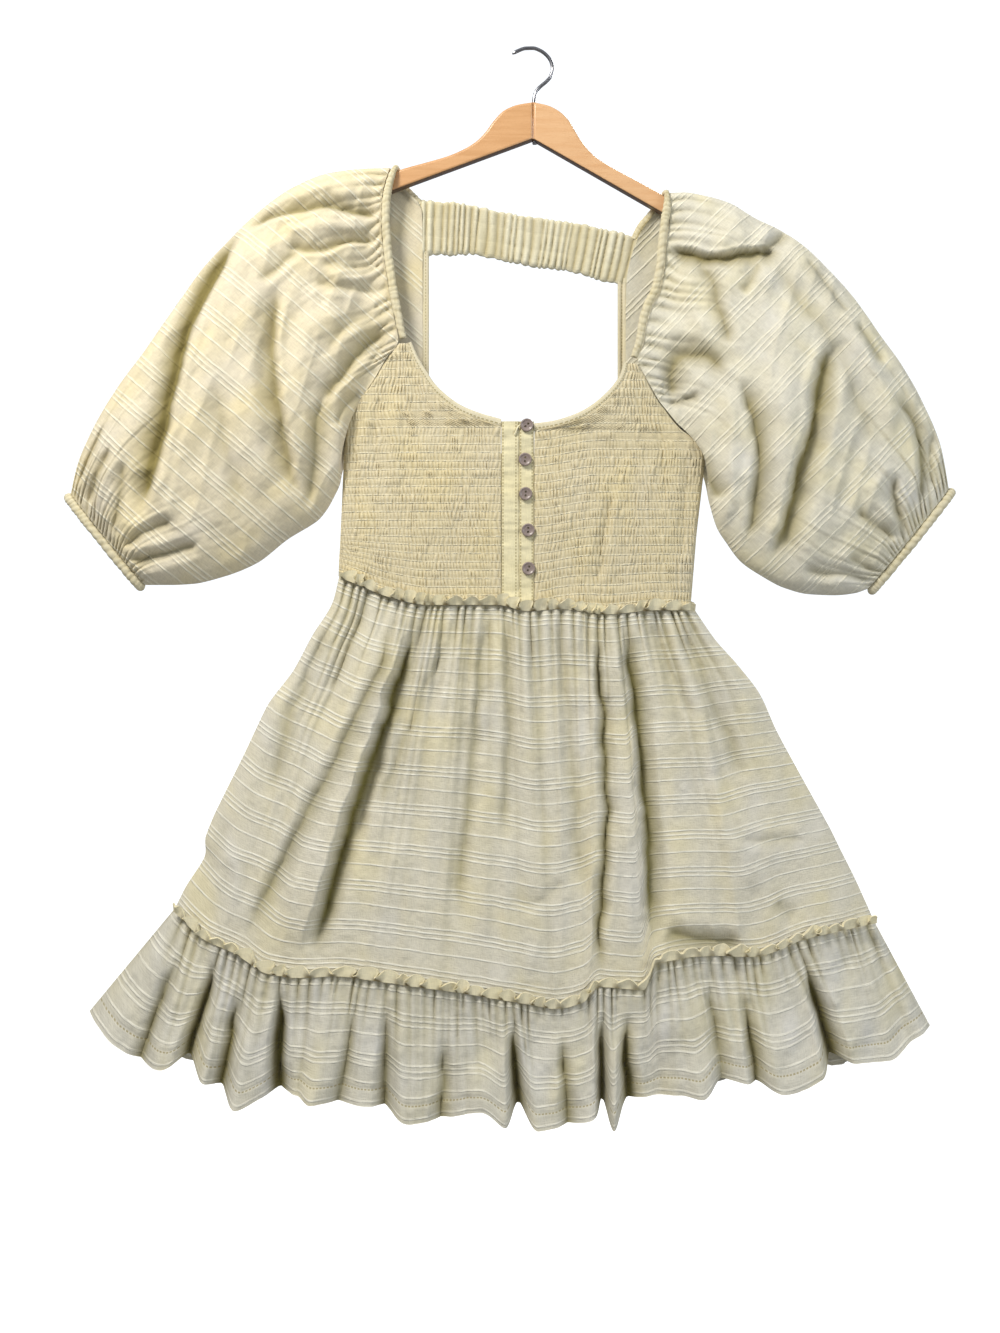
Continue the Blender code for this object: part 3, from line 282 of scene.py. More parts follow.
def skin(name, points, faces, cut, fold_shade, material, sharp=None):
    """A closed skin on points in millimetres, x, y and drop. cut is each one's place on the flat cloth, along
    the stripes and across them, and the mask after it is how deep in a fold it lies, 0 to 1, which sets the
    painted shade there."""
    data = bpy.data.meshes.new(name)
    data.from_pydata((points.reshape(-1, 3) * (MM, MM, -MM)).tolist(), [], faces)
    shape = bmesh.new()
    shape.from_mesh(data)
    bmesh.ops.recalc_face_normals(shape, faces=shape.faces)
    shape.to_mesh(data)
    shape.free()
    corners = np.zeros(len(data.loops), int)
    data.loops.foreach_get("vertex_index", corners)
    data.uv_layers.new(name="cut").data.foreach_set("uv", (cut.reshape(-1, 2) * MM)[corners].ravel())
    data.attributes.new("fold_shade", "FLOAT", "POINT").data.foreach_set("value", fold_shade.ravel())
    data.shade_smooth()
    if sharp:
        data.set_sharp_from_angle(angle=math.radians(sharp))
    made = placed(name, data)
    dress_with(made, material)
    return made


def tube(name, rings, cut, fold_shade, material, closed=False):
    """A skin on rings of points, capped at both ends or joined in a loop."""
    index = np.arange(rings.shape[0] * rings.shape[1]).reshape(rings.shape[:2])
    index = np.hstack([index, index[:, :1]])
    if closed:
        index = np.vstack([index, index[:1]])
    caps = [] if closed else [index[0, :-1].tolist(), index[-1, :-1].tolist()]
    return skin(name, rings, quads(index) + caps, cut, fold_shade, material)


def round_cord(name, points, radii, sides, material, closed=False, aside=(0, 1, 0)):
    """A tube on a line of points in millimetres, with a radius at each, or one for each of its sides."""
    points = np.array(points, float)
    ahead = (np.roll(points, -1, 0) - np.roll(points, 1, 0)) if closed else np.gradient(points, axis=0)
    ahead /= np.linalg.norm(ahead, axis=1)[:, None]
    across = np.cross(ahead, aside)
    across /= np.linalg.norm(across, axis=1)[:, None]
    up = np.cross(across, ahead)
    turns = np.arange(sides) * math.tau / sides
    radii = np.asarray(radii, float)
    radii = np.broadcast_to(radii[:, None] if radii.ndim == 1 else radii, (len(points), sides))
    around = np.cos(turns)[None, :, None] * across[:, None] + np.sin(turns)[None, :, None] * up[:, None]
    lengths = np.concatenate([[0], np.cumsum(np.linalg.norm(np.diff(points, axis=0), axis=1))])
    cut = np.stack(np.broadcast_arrays(lengths[:, None], (turns * radii.mean())[None, :]), -1)
    widest = np.max([np.roll(radii, shift, 0) for shift in range(-6, 7)], 0)
    # Painted shade where the tube is pinched narrower than along either side
    fold_shade = np.clip(3.2 * (1 - radii / widest) - 0.15, 0, 0.7)
    return tube(name, points[:, None] + radii[..., None] * around, cut, fold_shade, material, closed)


shares = np.linspace(0, 1, 90)
rows = np.arange(len(HOOK_WIRE["x"]))
bend = [smooth(rows, HOOK_WIRE[axis], shares * rows[-1]) for axis in ("x", "drop")]
tip = np.clip(shares / 0.03, 0.35, 1) ** 0.5
hook = round_cord("hook_wire", np.stack([bend[0], 0 * shares, bend[1]], -1), WIRE_RADIUS * tip, 14, polished)
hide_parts("hook")
nut = round_cord("hook_nut", NUT_LINE, NUT_RADIUS, 6, polished)
for piece in (hook, nut):
    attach(piece, "root")

# The front of the bodice: two cotton panels shirred on the machine with elastic thread in rows 8.2 mm apart,
# so that the cloth puckers between the rows. They meet at the button placket and stretch over nothing, so
# they hang nearly flat.
SEAM_GAP = 0.3
CLOTH = 1.6
FRONT_DEPTH = 13.0
BODY_ROUND = 0.35
SHIRR_PITCH = 8.2
SHIRR_PUFF = 2.8
PUCKER_WIDTH, PUCKER_SWAY = 3.3, 0.65
ROW_STEP, FRONT_COLUMNS = 1.64, 200
# How far the panel runs on under the placket, a little more at its top, and how far it sinks there
TUCK, TOP_TUCK, TUCK_DROP, TUCK_FADE, TUCK_SINK = 1.6, 1.3, 352.0, 30.0, 1.6
WAIST_DROP, WAIST_BLEND, WAIST_GAP = 538.0, 80.0, 0.7
BODY_SIDES = table(
    "drop left right",
    (353, -181.5, 168), (400, -182, 165), (470, -185, 157), (507, -186, 153.5), (545, -188, 151),
)
WAIST_LINE = table(
    "x drop",
    (-190, 510), (-165, 520), (-140, 530), (-100, 538), (-35, 538), (-5, 544), (25, 542), (70, 547),
    (120, 543), (162, 543),
)
FRONT_LEFT_EDGES = table(
    "drop left right",
    (287, -127, -121), (304, -140, -114), (318, -148, -106), (330, -157, -98), (342, -169, -86),
    (352, -180, -72), (360, -180.5, -54), (367, -181, -31), (400, -182, -31), (470, -185, -31),
    (538, -187, -31),
)
FRONT_RIGHT_EDGES = table(
    "drop left right",
    (306, 91, 96), (318, 88, 104), (330, 81, 110), (342, 70, 117), (352, 58, 125), (360, 44, 131),
    (368, 20, 139), (371, 1, 143), (380, 1, 158), (390, 1, 167), (410, 1, 163.5), (470, 1, 157),
    (538, 1, 151),
)
# Folds in the cloth, as lines of (x, drop), each with its width to the viewer's left and right and its rise
BODICE_LEFT_FOLDS = (
    ([(-150, 335), (-152, 375), (-149, 420)], 6, 6, -2.5),
    ([(-130, 330), (-131, 380), (-132, 430)], 8, 6, 2.0),
    ([(-170, 350), (-171, 400), (-168, 450)], 6, 6, -2.2),
    ([(-146, 290), (-134, 312), (-128, 335)], 5, 5, -2.0),
    ([(-122, 300), (-116, 322), (-110, 345)], 4, 5, -1.6),
    ([(-160, 440), (-163, 490), (-166, 520)], 8, 9, 1.6),
    ([(-70, 420), (-74, 470), (-72, 515)], 9, 9, -1.2),
    ([(-100, 370), (-104, 430), (-100, 480)], 10, 9, 1.2),
)
BODICE_RIGHT_FOLDS = (
    ([(74, 430), (69, 470), (65, 495), (57, 524)], 5, 3.5, -3.2),
    ([(84, 420), (79, 470), (73, 520)], 6, 7, 1.8),
    ([(120, 360), (124, 400), (128, 440)], 7, 7, -2.0),
    ([(148, 390), (147, 440), (143, 500)], 7, 7, -2.2),
    ([(104, 330), (106, 370), (108, 410)], 6, 6, -1.5),
    ([(30, 400), (34, 450), (30, 510)], 9, 9, 1.0),
)


def ease(x):
    x = np.clip(x, 0.0, 1.0)
    return x * x * (3 - 2 * x)


def pleats(turn, sharp=0.8):
    """The height of a row of gathers, 0 to 1, with a valley wherever turn is whole."""
    return abs(np.sin(math.pi * turn)) ** sharp


def rough(x, y, size, seed):
    """Soft uneven bumps, -1 to 1, about as far apart as size."""
    heights = np.random.default_rng(seed).uniform(-1, 1, (97, 97))
    u, v = np.broadcast_arrays(np.asarray(x, float) / size, np.asarray(y, float) / size)
    i, j = np.floor(u).astype(int), np.floor(v).astype(int)
    s, t = ease(u - i), ease(v - j)
    i, j, i2, j2 = i % 97, j % 97, (i + 1) % 97, (j + 1) % 97
    return (
        (heights[i, j] * (1 - s) + heights[i2, j] * s) * (1 - t)
        + (heights[i, j2] * (1 - s) + heights[i2, j2] * s) * t
    )


def crease(x, drop, line, left, right, rise, fade=(0.18, 0.18)):
    """A soft ridge or trough on a line of (x, drop), left and right being its widths as it runs down."""
    line = np.array(line, float)
    fine = np.linspace(0, len(line) - 1, 5 * (len(line) - 1) + 1)
    line = np.stack([smooth(np.arange(len(line)), line[:, axis], fine) for axis in (0, 1)], -1)
    steps = np.diff(line, axis=0)
    lengths = np.hypot(*steps.T)
    passed = np.concatenate([[0], np.cumsum(lengths)])
    nearest, off, run = np.full(x.shape, 1e9), np.zeros(x.shape), np.zeros(x.shape)
    for start, step, length, before in zip(line, steps, lengths, passed):
        share = np.clip(((x - start[0]) * step[0] + (drop - start[1]) * step[1]) / length**2, 0, 1)
        dx, dz = x - start[0] - share * step[0], drop - start[1] - share * step[1]
        far = np.hypot(dx, dz)
        closer = far < nearest
        off = np.where(closer, far * np.sign(step[0] * dz - step[1] * dx), off)
        run = np.where(closer, (before + share * length) / passed[-1], run)
        nearest = np.minimum(nearest, far)
    ends = ease(run / fade[0]) * ease((1 - run) / fade[1])
    apart = abs(off / np.where(off > 0, left, right))
    if rise > 0:
        return rise * np.exp(-(apart**2)) * ends
    return rise * (np.exp(-1.1 * apart**1.25) - 0.22 * np.exp(-(((apart - 2.1) / 0.9) ** 2))) * ends


def creases(x, drop, folds):
    """The folds' summed rise, and how deep in a trough each place lies, 0 to 1, which sets the painted shade
    there.
    """
    total, deep = np.zeros(x.shape), np.zeros(x.shape)
    x, drop = (
        x + 2.4 * rough(x, drop, 23, 601) + 0.8 * rough(x, drop, 8, 603),
        drop + 2.4 * rough(x, drop, 25, 607) + 0.8 * rough(x, drop, 9, 609),
    )
    for fold in folds:
        rise = crease(x, drop, *fold)
        total += rise
        if fold[3] < 0:
            deep = np.maximum(deep, -rise / 11)
    return total, np.clip(deep, 0, 1)


def body_depth(x, drop, depth):
    """How far the inside of the front, or of the back, stands from the plane of the side seams."""
    left = np.interp(drop, BODY_SIDES["drop"], BODY_SIDES["left"])
    right = np.interp(drop, BODY_SIDES["drop"], BODY_SIDES["right"])
    across = np.minimum(abs(2 * x - left - right) / (right - left), 1.0)
    return SEAM_GAP / 2 + depth * (1 - across**2) ** BODY_ROUND


def waist_drop(x):
    return smooth(WAIST_LINE["x"], WAIST_LINE["drop"], x)


def joined(first, second):
    """Faces between two rows of vertex numbers, which may hold unlike numbers of them."""
    faces, i, j = [], 0, 0
    while i < len(first) - 1 or j < len(second) - 1:
        next_i = (i + 1) / (len(first) - 1) if i < len(first) - 1 else 2
        next_j = (j + 1) / (len(second) - 1) if j < len(second) - 1 else 2
        if next_i <= next_j:
            faces.append((first[i], first[i + 1], second[j]))
            i += 1
        else:
            faces.append((first[i], second[j + 1], second[j]))
            j += 1
    return faces


def softened(points, passes, closed):
    for _ in range(passes):
        points = np.concatenate([points[:1], (points[:-2] + 2 * points[1:-1] + points[2:]) / 4, points[-1:]])
        if closed:
            points = (np.roll(points, 1, 1) + 2 * points + np.roll(points, -1, 1)) / 4
        else:
            points = np.concatenate(
                [points[:, :1], (points[:, :-2] + 2 * points[:, 1:-1] + points[:, 2:]) / 4, points[:, -1:]], 1
            )
    return points


def cloth_piece(name, outer, cut, fold_shade, material, thick=1.1, step=3, closed=False):
    """One piece of cloth: rows of points on its outer face, a coarser sheet behind it, and its rims."""
    rows, columns = outer.shape[:2]
    soft = softened(outer, 2 * step, closed)
    across = (np.roll(soft, -1, 1) - np.roll(soft, 1, 1)) if closed else np.gradient(soft, axis=1)
    facing = np.cross(across, np.gradient(soft, axis=0))
    facing /= np.linalg.norm(facing, axis=2)[..., None] + 1e-9
    if (facing[..., 1] * outer[..., 1]).sum() < 0:
        facing = -facing
    kept_rows, kept_columns = {*range(0, rows, step), rows - 1}, {*range(0, columns, step)}
    if not closed:
        kept_columns.add(columns - 1)
    pick = np.ix_(sorted(kept_rows), sorted(kept_columns))
    shallow = abs(outer[..., 1])
    for axis in (0, 1):
        spread = [np.roll(shallow, shift, axis) for shift in range(-step, step + 1)]
        shallow = np.min(spread, axis=0)
    inner = soft[pick] - facing[pick] * thick
    inner[..., 1] = (
        np.sign(inner[..., 1]) * np.minimum(abs(inner[..., 1]), np.maximum(shallow[pick] - 0.9 * thick, 0.05))
    )
    near = np.arange(rows * columns).reshape(rows, columns)
    far = rows * columns + np.arange(inner.shape[0] * inner.shape[1]).reshape(inner.shape[:2])
    if closed:
        near, far = np.hstack([near, near[:, :1]]), np.hstack([far, far[:, :1]])
    faces = quads(near) + quads(far)
    for end in (0, -1):
        faces += joined(near[end], far[end])
        if not closed:
            faces += joined(near[:, end], far[:, end])
    points = np.concatenate([outer.reshape(-1, 3), inner.reshape(-1, 3)])
    flat = np.concatenate([cut.reshape(-1, 2), cut[pick].reshape(-1, 2)])
    # Painted shade: the sheet behind is tinted a little towards the fold shade colour all over
    deep = np.concatenate([fold_shade.ravel(), 0.08 + 0 * fold_shade[pick].ravel()])
    return skin(name, points, faces, flat, deep, material, sharp=75)


def new_group(name, inputs, outputs):
    """An empty shader node group with named sockets, and its first and last nodes."""
    group = bpy.data.node_groups.new(name, "ShaderNodeTree")
    for label, kind, value in inputs:
        socket = group.interface.new_socket(label, in_out="INPUT", socket_type="NodeSocket" + kind)
        if value is not None:
            socket.default_value = value
    for label, kind in outputs:
        group.interface.new_socket(label, in_out="OUTPUT", socket_type="NodeSocket" + kind)
    return group, group.nodes.new("NodeGroupInput").outputs, group.nodes.new("NodeGroupOutput").inputs


def place_group(tree, group, **values):
    made = tree.nodes.new("ShaderNodeGroup")
    made.node_tree = group
    for label, value in values.items():
        socket = made.inputs[label]
        if isinstance(value, bpy.types.NodeSocket):
            tree.links.new(value, socket)
        else:
            socket.default_value = value
    return made.outputs


def noise_on(tree, cut, scale, detail, roughness=None):
    """Noise over the flat cloth, with a scale of its own along the stripes and across them."""
    return add(tree, "TexNoise", add(tree, "Mapping", cut, None, None, scale), None, 1.0, detail, roughness)


# Crinkled gauze: fine uneven threads both ways, slubs along them, and crinkles a few millimetres across
weave, given, result = new_group(
    "crinkled_weave",
    (("Cut", "Vector", None), ("Crinkle", "Float", 1.0)),
    (("Tone", "Float"), ("Height", "Float")),
)
lengthwise = noise_on(weave, given["Cut"], (150, 900, 1), 2.0)
crosswise = noise_on(weave, given["Cut"], (900, 170, 1), 2.0)
threads = maths(weave, "ADD", lengthwise, crosswise)
wrinkles = noise_on(weave, given["Cut"], (170, 210, 1), 4.0, 0.62)
scaled = maths(weave, "MULTIPLY", wrinkles, given["Crinkle"])
height = maths(weave, "ADD", maths(weave, "MULTIPLY", threads, 0.45), scaled)
weave.links.new(height, result["Height"])
toned = maths(weave, "ADD", maths(weave, "MULTIPLY", threads, 0.5), maths(weave, "MULTIPLY", wrinkles, 0.3))
weave.links.new(toned, result["Tone"])

# The elastic thread of the shirring: thin pale lines across the cloth, one for each row
shirring, given, result = new_group(
    "shirring_thread",
    (("Cut", "Vector", None), ("Pitch", "Float", SHIRR_PITCH * MM)),
    (("Thread", "Float"), ("Height", "Float")),
)
uneven_threads = noise_on(shirring, given["Cut"], (300, 60, 1), 2.0)
sway = maths(shirring, "MULTIPLY", maths(shirring, "SUBTRACT", uneven_threads, 0.5), 0.0012)
swayed = maths(shirring, "ADD", add(shirring, "SeparateXYZ", given["Cut"], out=1), sway)
row = maths(shirring, "DIVIDE", swayed, given["Pitch"])
apart = maths(shirring, "MULTIPLY", maths(shirring, "PINGPONG", row, 0.5), given["Pitch"])
line = step_up(shirring, apart, 0.0009, 0.0002)
line = maths(shirring, "MULTIPLY", line, add(shirring, "MapRange", uneven_threads, 0.4, 0.62, 0.25, 1.0))
shirring.links.new(line, result["Thread"])
shirring.links.new(line, result["Height"])


def cotton(
    name, colour, fold_shade_colour, cord_colour, stripes=True, crinkle=1.0, bump=0.7, shirr=False, warmth=0.5
):
    """A cotton of this colour, with painted shade darkening its folds, and pale cords woven in or elastic
    thread.
    """
    made, tree, shader = new_material(name, 0.88)
    cut = add(tree, "UVMap", uv_map="cut")
    deep = add(tree, "Attribute", attribute_name="fold_shade", out=2)
    woven = place_group(tree, weave, Cut=cut, Crinkle=crinkle)
    dull = tuple(0.84 * c for c in colour[:3]) + (1,)
    tone = mixed(tree, step_up(tree, woven["Tone"], 0.45, 0.85), dull, colour)
    glow = noise_on(tree, cut, (26, 13, 1), 1.5)
    warm = (1.05 * colour[0], 0.99 * colour[1], 0.72 * colour[2], 1)
    tone = mixed(tree, maths(tree, "MULTIPLY", step_up(tree, glow, 0.42, 0.74), warmth), tone, warm)
    cool = (0.98 * colour[0], 1.01 * colour[1], 1.16 * colour[2], 1)
    tone = mixed(tree, maths(tree, "MULTIPLY", step_up(tree, glow, 0.45, 0.25), warmth), tone, cool)
    height = maths(tree, "MULTIPLY", woven["Height"], bump)
    if stripes:
        lines = place_group(tree, cords, Cut=cut)
        tone = mixed(tree, maths(tree, "MULTIPLY", lines["Cords"], 0.9), tone, cord_colour)
        height = maths(tree, "ADD", height, maths(tree, "MULTIPLY", lines["Height"], 0.7))
    if shirr:
        lines = place_group(tree, shirring, Cut=cut)
        tone = mixed(tree, maths(tree, "MULTIPLY", lines["Thread"], 0.75), tone, cord_colour)
        height = maths(tree, "ADD", height, maths(tree, "MULTIPLY", lines["Height"], 0.9))
    # Painted shade: deep in the folds the colour is mixed towards a dark olive shade colour
    tone = mixed(tree, deep, tone, fold_shade_colour)
    tree.links.new(tone, shader.inputs["Base Color"])
    raised = add(tree, "Bump", 0.9, 0.001)
    tree.links.new(height, raised.node.inputs["Height"])
    tree.links.new(raised, shader.inputs["Normal"])
    shader.inputs["Specular IOR Level"].default_value = 0.2
    shader.inputs["Sheen Weight"].default_value = 0.15
    shader.inputs["Sheen Roughness"].default_value = 0.5
    return made


# The bodice's cotton, the dark olive painted into its folds as shade, and its pale thread
CREAM, CREAM_FOLD_SHADE, CREAM_CORD = (0.72, 0.635, 0.43, 1), (0.34, 0.27, 0.11, 1), (0.88, 0.83, 0.64, 1)
smocked_cotton = cotton(
    "smocked_cotton", CREAM, CREAM_FOLD_SHADE, CREAM_CORD, stripes=False, crinkle=0.5, shirr=True, warmth=0.3
)


def puckers(x, phase, seed):
    """How far the cloth puffs out between two rows of shirring, 0 to 1, and how deep between two puckers."""
    row = np.floor(phase)
    within = phase - row
    arch = 0.3 + 0.7 * np.clip(np.sin(math.pi * within), 0, 1) ** 0.5
    turn = (
        x / PUCKER_WIDTH
        + PUCKER_SWAY * rough(x, row * 13.7, 8, seed)
        + 3.1 * rough(row * 7.3, 0 * x, 1, seed + 1)
    )
    turn += 0.7 * (within - 0.5) * rough(x, row * 11.7, 12, seed + 2)
    ridge = pleats(turn, 0.7)
    strength = 0.75 + 0.45 * rough(x, row * 5.1, 5, seed + 3)
    return arch * (0.15 + 0.85 * ridge * strength), arch * (1 - ridge)


def front_panel(name, edges, folds, tilt, seed):
    top = edges["drop"][0]
    rows, columns = round((WAIST_DROP - top) / ROW_STEP), FRONT_COLUMNS
    drop = np.linspace(top, WAIST_DROP, rows + 1)[:, None]
    left, right = (np.interp(drop, edges["drop"], edges[side]) for side in ("left", "right"))
    tuck = TOP_TUCK * (1 - ease((drop - TUCK_DROP) / TUCK_FADE)) + TUCK
    left, right = (left - tuck, right) if name.endswith("left") else (left, right + tuck)
    x = left + (right - left) * np.linspace(0, 1, columns + 1)
    drop = (
        drop
        + (waist_drop(x) - WAIST_GAP / 2 - WAIST_DROP) * ease((drop - WAIST_DROP + WAIST_BLEND) / WAIST_BLEND)
    )
    straight = np.linspace(top, WAIST_DROP, rows + 1)[:, None] + 0 * x - tilt(x)
    pitch = (WAIST_DROP - top) / round((WAIST_DROP - top) / SHIRR_PITCH)
    phase = (straight - top) / pitch
    puff, between = puckers(x, phase, seed)
    rise, deep = creases(x, drop, folds)
    rise += 0.5 * rough(x, drop, 22, seed + 5)
    edge = np.clip(np.minimum(x - left, right - x) / 3, 0, 1)
    tucked = 1 - np.clip((x - left if name.endswith("left") else right - x) / 3, 0, 1)
    raised = (SHIRR_PUFF * puff + rise) * (0.3 + 0.7 * edge)
    depth = body_depth(x, drop, FRONT_DEPTH) + CLOTH + raised - TUCK_SINK * tucked
    outer = np.stack([x, -depth, drop], -1)
    cut = np.stack([x, phase * SHIRR_PITCH], -1)
    # Painted shade between the puckers and in the folds
    fold_shade = np.clip(0.55 * between + 0.4 * deep, 0, 1)
    return cloth_piece(name + "_cloth", outer, cut, fold_shade, smocked_cotton, thick=1.2, step=5)


for name, edges, folds, tilt, seed in (
    ("bodice_front_left", FRONT_LEFT_EDGES, BODICE_LEFT_FOLDS, lambda x: 0 * x, 11),
    ("bodice_front_right", FRONT_RIGHT_EDGES, BODICE_RIGHT_FOLDS, lambda x: 8 * (1 - ease(x / 65)), 29),
):
    panel = front_panel(name, edges, folds, tilt, seed)
    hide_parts(name)
    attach(panel, "root")

# The back of the bodice: one cotton panel shirred in the same way, cut low across the open back and sewn to
# the front panels at the sides
BACK_DEPTH = 11.5
BACK_SHIRR_ROWS = 22
BACK_TOP_LEFT, BACK_TOP_RIGHT, BACK_WAIST_LEFT, BACK_WAIST_RIGHT = -181, 167.5, -187.5, 150.5
BACK_FOLDS = (
    ([(-120, 400), (-124, 450), (-120, 505)], 8, 8, -2.2),
    ([(-40, 395), (-36, 450), (-42, 520)], 9, 9, -2.0),
    ([(30, 395), (36, 450), (30, 520)], 8, 8, -2.2),
    ([(110, 400), (108, 450), (112, 520)], 8, 8, -2.0),
)
BACK_TOP = table("x drop", (-181, 355.5), (-150, 374), (-104, 389.5), (84, 389.5), (140, 384), (167.5, 395))


def net(rows, columns):
    """Shares from 0 to 1 across and down a piece of so many rows and columns."""
    return np.linspace(0, 1, columns + 1)[None, :], np.linspace(0, 1, rows + 1)[:, None]


across, share = net(96, 300)
left = BACK_TOP_LEFT * (1 - share) + BACK_WAIST_LEFT * share
right = BACK_TOP_RIGHT * (1 - share) + BACK_WAIST_RIGHT * share
x = left + (right - left) * across
top = np.interp(x, BACK_TOP["x"], BACK_TOP["drop"])
drop = top + (waist_drop(x) - WAIST_GAP / 2 - top) * share
phase = share * BACK_SHIRR_ROWS + 0 * x
puff, between = puckers(x, phase, 47)
rise = 1.0 * rough(x, drop, 26, 53)
back_rise, deep = creases(x, drop, BACK_FOLDS)
seam = ease(np.minimum(x - left, right - x) / 4)
depth = body_depth(x, drop, BACK_DEPTH) + (CLOTH + SHIRR_PUFF * puff + rise + back_rise) * seam
outer, cut = np.stack([x, depth, drop], -1), np.stack([x, phase * SHIRR_PITCH], -1)
# Painted shade between the puckers and in the folds
fold_shade = np.clip(0.55 * between + 0.4 * deep, 0, 1)
panel = cloth_piece("bodice_back_cloth", outer, cut, fold_shade, smocked_cotton, thick=1.2, step=5)
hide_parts("bodice_back")
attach(panel, "root")

# The button placket: two plain cotton bands, each folded and edge-stitched, the right one carrying the
# buttons and the left one the loops.
BAND_CLOTH = 2.4
BAND_TOP_DROP = 362.5
BAND_WAIST_GAP = 1.0
BAND_CREAM = (0.78, 0.71, 0.46, 1)

# A row of short stitches, which shows as a dotted dent
stitching, given, result = new_group(
    "edge_stitching",
    (("Cut", "Vector", None), ("From Edge", "Float", 0.002)),
    (("Stitches", "Float"),),
)
off = maths(stitching, "SUBTRACT", add(stitching, "SeparateXYZ", given["Cut"], out=1), given["From Edge"])
on_line = step_up(stitching, maths(stitching, "ABSOLUTE", off), 0.0008, 0.0003)
stitch = maths(stitching, "DIVIDE", add(stitching, "SeparateXYZ", given["Cut"], out=0), 0.0032)
beat = maths(stitching, "PINGPONG", stitch, 0.5)
stitched = maths(stitching, "MULTIPLY", on_line, step_up(stitching, beat, 0.12, 0.25))
stitching.links.new(stitched, result["Stitches"])


def stitch_along(fabric, rows, thread):
    """Rows of stitches on a cotton, each at its distance in millimetres across the flat cloth."""
    tree = fabric.node_tree
    colour = tree.nodes["Principled BSDF"].inputs["Base Color"]
    tone = colour.links[0].from_socket
    cut = add(tree, "UVMap", uv_map="cut")
    for row in rows:
        made = place_group(tree, stitching, **{"Cut": cut, "From Edge": row * MM})
        tone = mixed(tree, maths(tree, "MULTIPLY", made["Stitches"], 0.8), tone, thread)
    tree.links.new(tone, colour)


def plain_cotton(name, colour, edges, crinkle=0.5, bump=0.4, fold_shade_colour=CREAM_FOLD_SHADE):
    """The same cotton where no stripe shows, with a row of stitches at each distance across it."""
    made = cotton(
        name, colour, fold_shade_colour, CREAM_CORD, stripes=False, crinkle=crinkle, bump=bump, warmth=0.2
    )
    stitch_along(made, edges, (0.30, 0.24, 0.10, 1))
    return made


def upright(x, drops):
    """A line of (x, drop) straight down the cloth."""
    return [(x, drop) for drop in drops]


def strip(name, highs, lows, depth, thick, side, material, ripple, seed, roll=0.35):
    """A narrow folded band on the body between two lines of (x, drop), its edges rolled over."""
    highs, lows = np.array(highs, float), np.array(lows, float)
    length = np.linalg.norm(np.diff(highs, axis=0), axis=1).sum()
    width = np.linalg.norm(lows - highs, axis=1).mean()
    places = np.linspace(0, len(highs) - 1, max(round(length / 1.0), 8) + 1)
    share = np.linspace(0, 1, max(round(width / 0.8), 6) + 1)[None, :]
    ends = [
        np.stack([np.interp(places, np.arange(len(line)), line[:, axis]) for axis in (0, 1)], -1)[:, None]
        for line in (highs, lows)
    ]
    spot = ends[0] + (ends[1] - ends[0]) * share[..., None]
    x, drop = spot[..., 0], spot[..., 1]
    run = (places / places[-1] * length)[:, None]
    rolled = (1 - abs(2 * share - 1) ** (width / 1.6)) ** 0.5
    wave = (
        ripple
        * (rough(run, share * width * 0.3, 9, seed) + 0.6 * rough(run, share * width * 0.2, 4, seed + 1))
    )
    face = body_depth(x, drop, depth) + thick * (roll + (1 - roll) * rolled) + wave * rolled
    outer = np.stack([x, side * face, drop], -1)
    cut = np.stack(np.broadcast_arrays(run, share * width), -1)
    # Painted shade where the band's edges roll under
    return cloth_piece(
        name + "_cloth", outer, cut, np.clip(0.25 * (1 - rolled) + 0 * x, 0, 1), material, thick=1.0, step=3
    )


bands = (("loop_band", -30.7, -13.4, 61, (1.6, 14.0)), ("button_band", -13.7, 0.7, 67, (1.6, 12.6)))
for name, left, right, seed, edges in bands:
    drops = np.linspace(BAND_TOP_DROP, waist_drop(left) - BAND_WAIST_GAP, 40)
    material = plain_cotton(name + "_cotton", BAND_CREAM, edges)
    highs, lows = upright(left, drops), upright(right, drops)
    band = strip(name, highs, lows, FRONT_DEPTH, BAND_CLOTH, -1, material, 1.0, seed)
    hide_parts(name)
    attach(band, "root")

# The neckline binding: a narrow bias strip of the cotton, folded over the edge of each front panel from the
# sleeve to the placket, and stitched along it
BINDING_CLOTH = 2.6
BINDING_GAP = 1.2
BINDING_WIDTH, BINDING_NARROW, BINDING_UNDER = 5.6, 3.0, 0.8
bound_cotton = plain_cotton("bound_cotton", (0.72, 0.655, 0.47, 1), (4.2,))
for name, edges, column, seed in (
    ("neck_binding_left", FRONT_LEFT_EDGES, "right", 71),
    ("neck_binding_right", FRONT_RIGHT_EDGES, "left", 73),
):
    placket = edges[column][-1]
    count = int(np.argmax(edges[column] == placket)) + 1
    fine = np.linspace(0, count - 1, 60)
    line = np.stack([smooth(np.arange(count), edges[key][:count], fine) for key in (column, "drop")], -1)
    ahead = np.gradient(line, axis=0)
    ahead /= np.linalg.norm(ahead, axis=1)[:, None]
    side = 1 if column == "right" else -1
    out = side * np.array((ahead[:, 1], -ahead[:, 0])).T
    widths = np.linspace(BINDING_NARROW, BINDING_WIDTH, 60)[:, None]
    lows, highs = line - out * BINDING_UNDER, line + out * (BINDING_GAP + widths)
    lows[-1, 0] = highs[-1, 0] = placket + side * SEAM_GAP
    binding = strip(name, highs, lows, FRONT_DEPTH, BINDING_CLOTH, -1, bound_cotton, 0.25, seed, roll=0.15)
    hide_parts(name)
    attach(binding, "root")

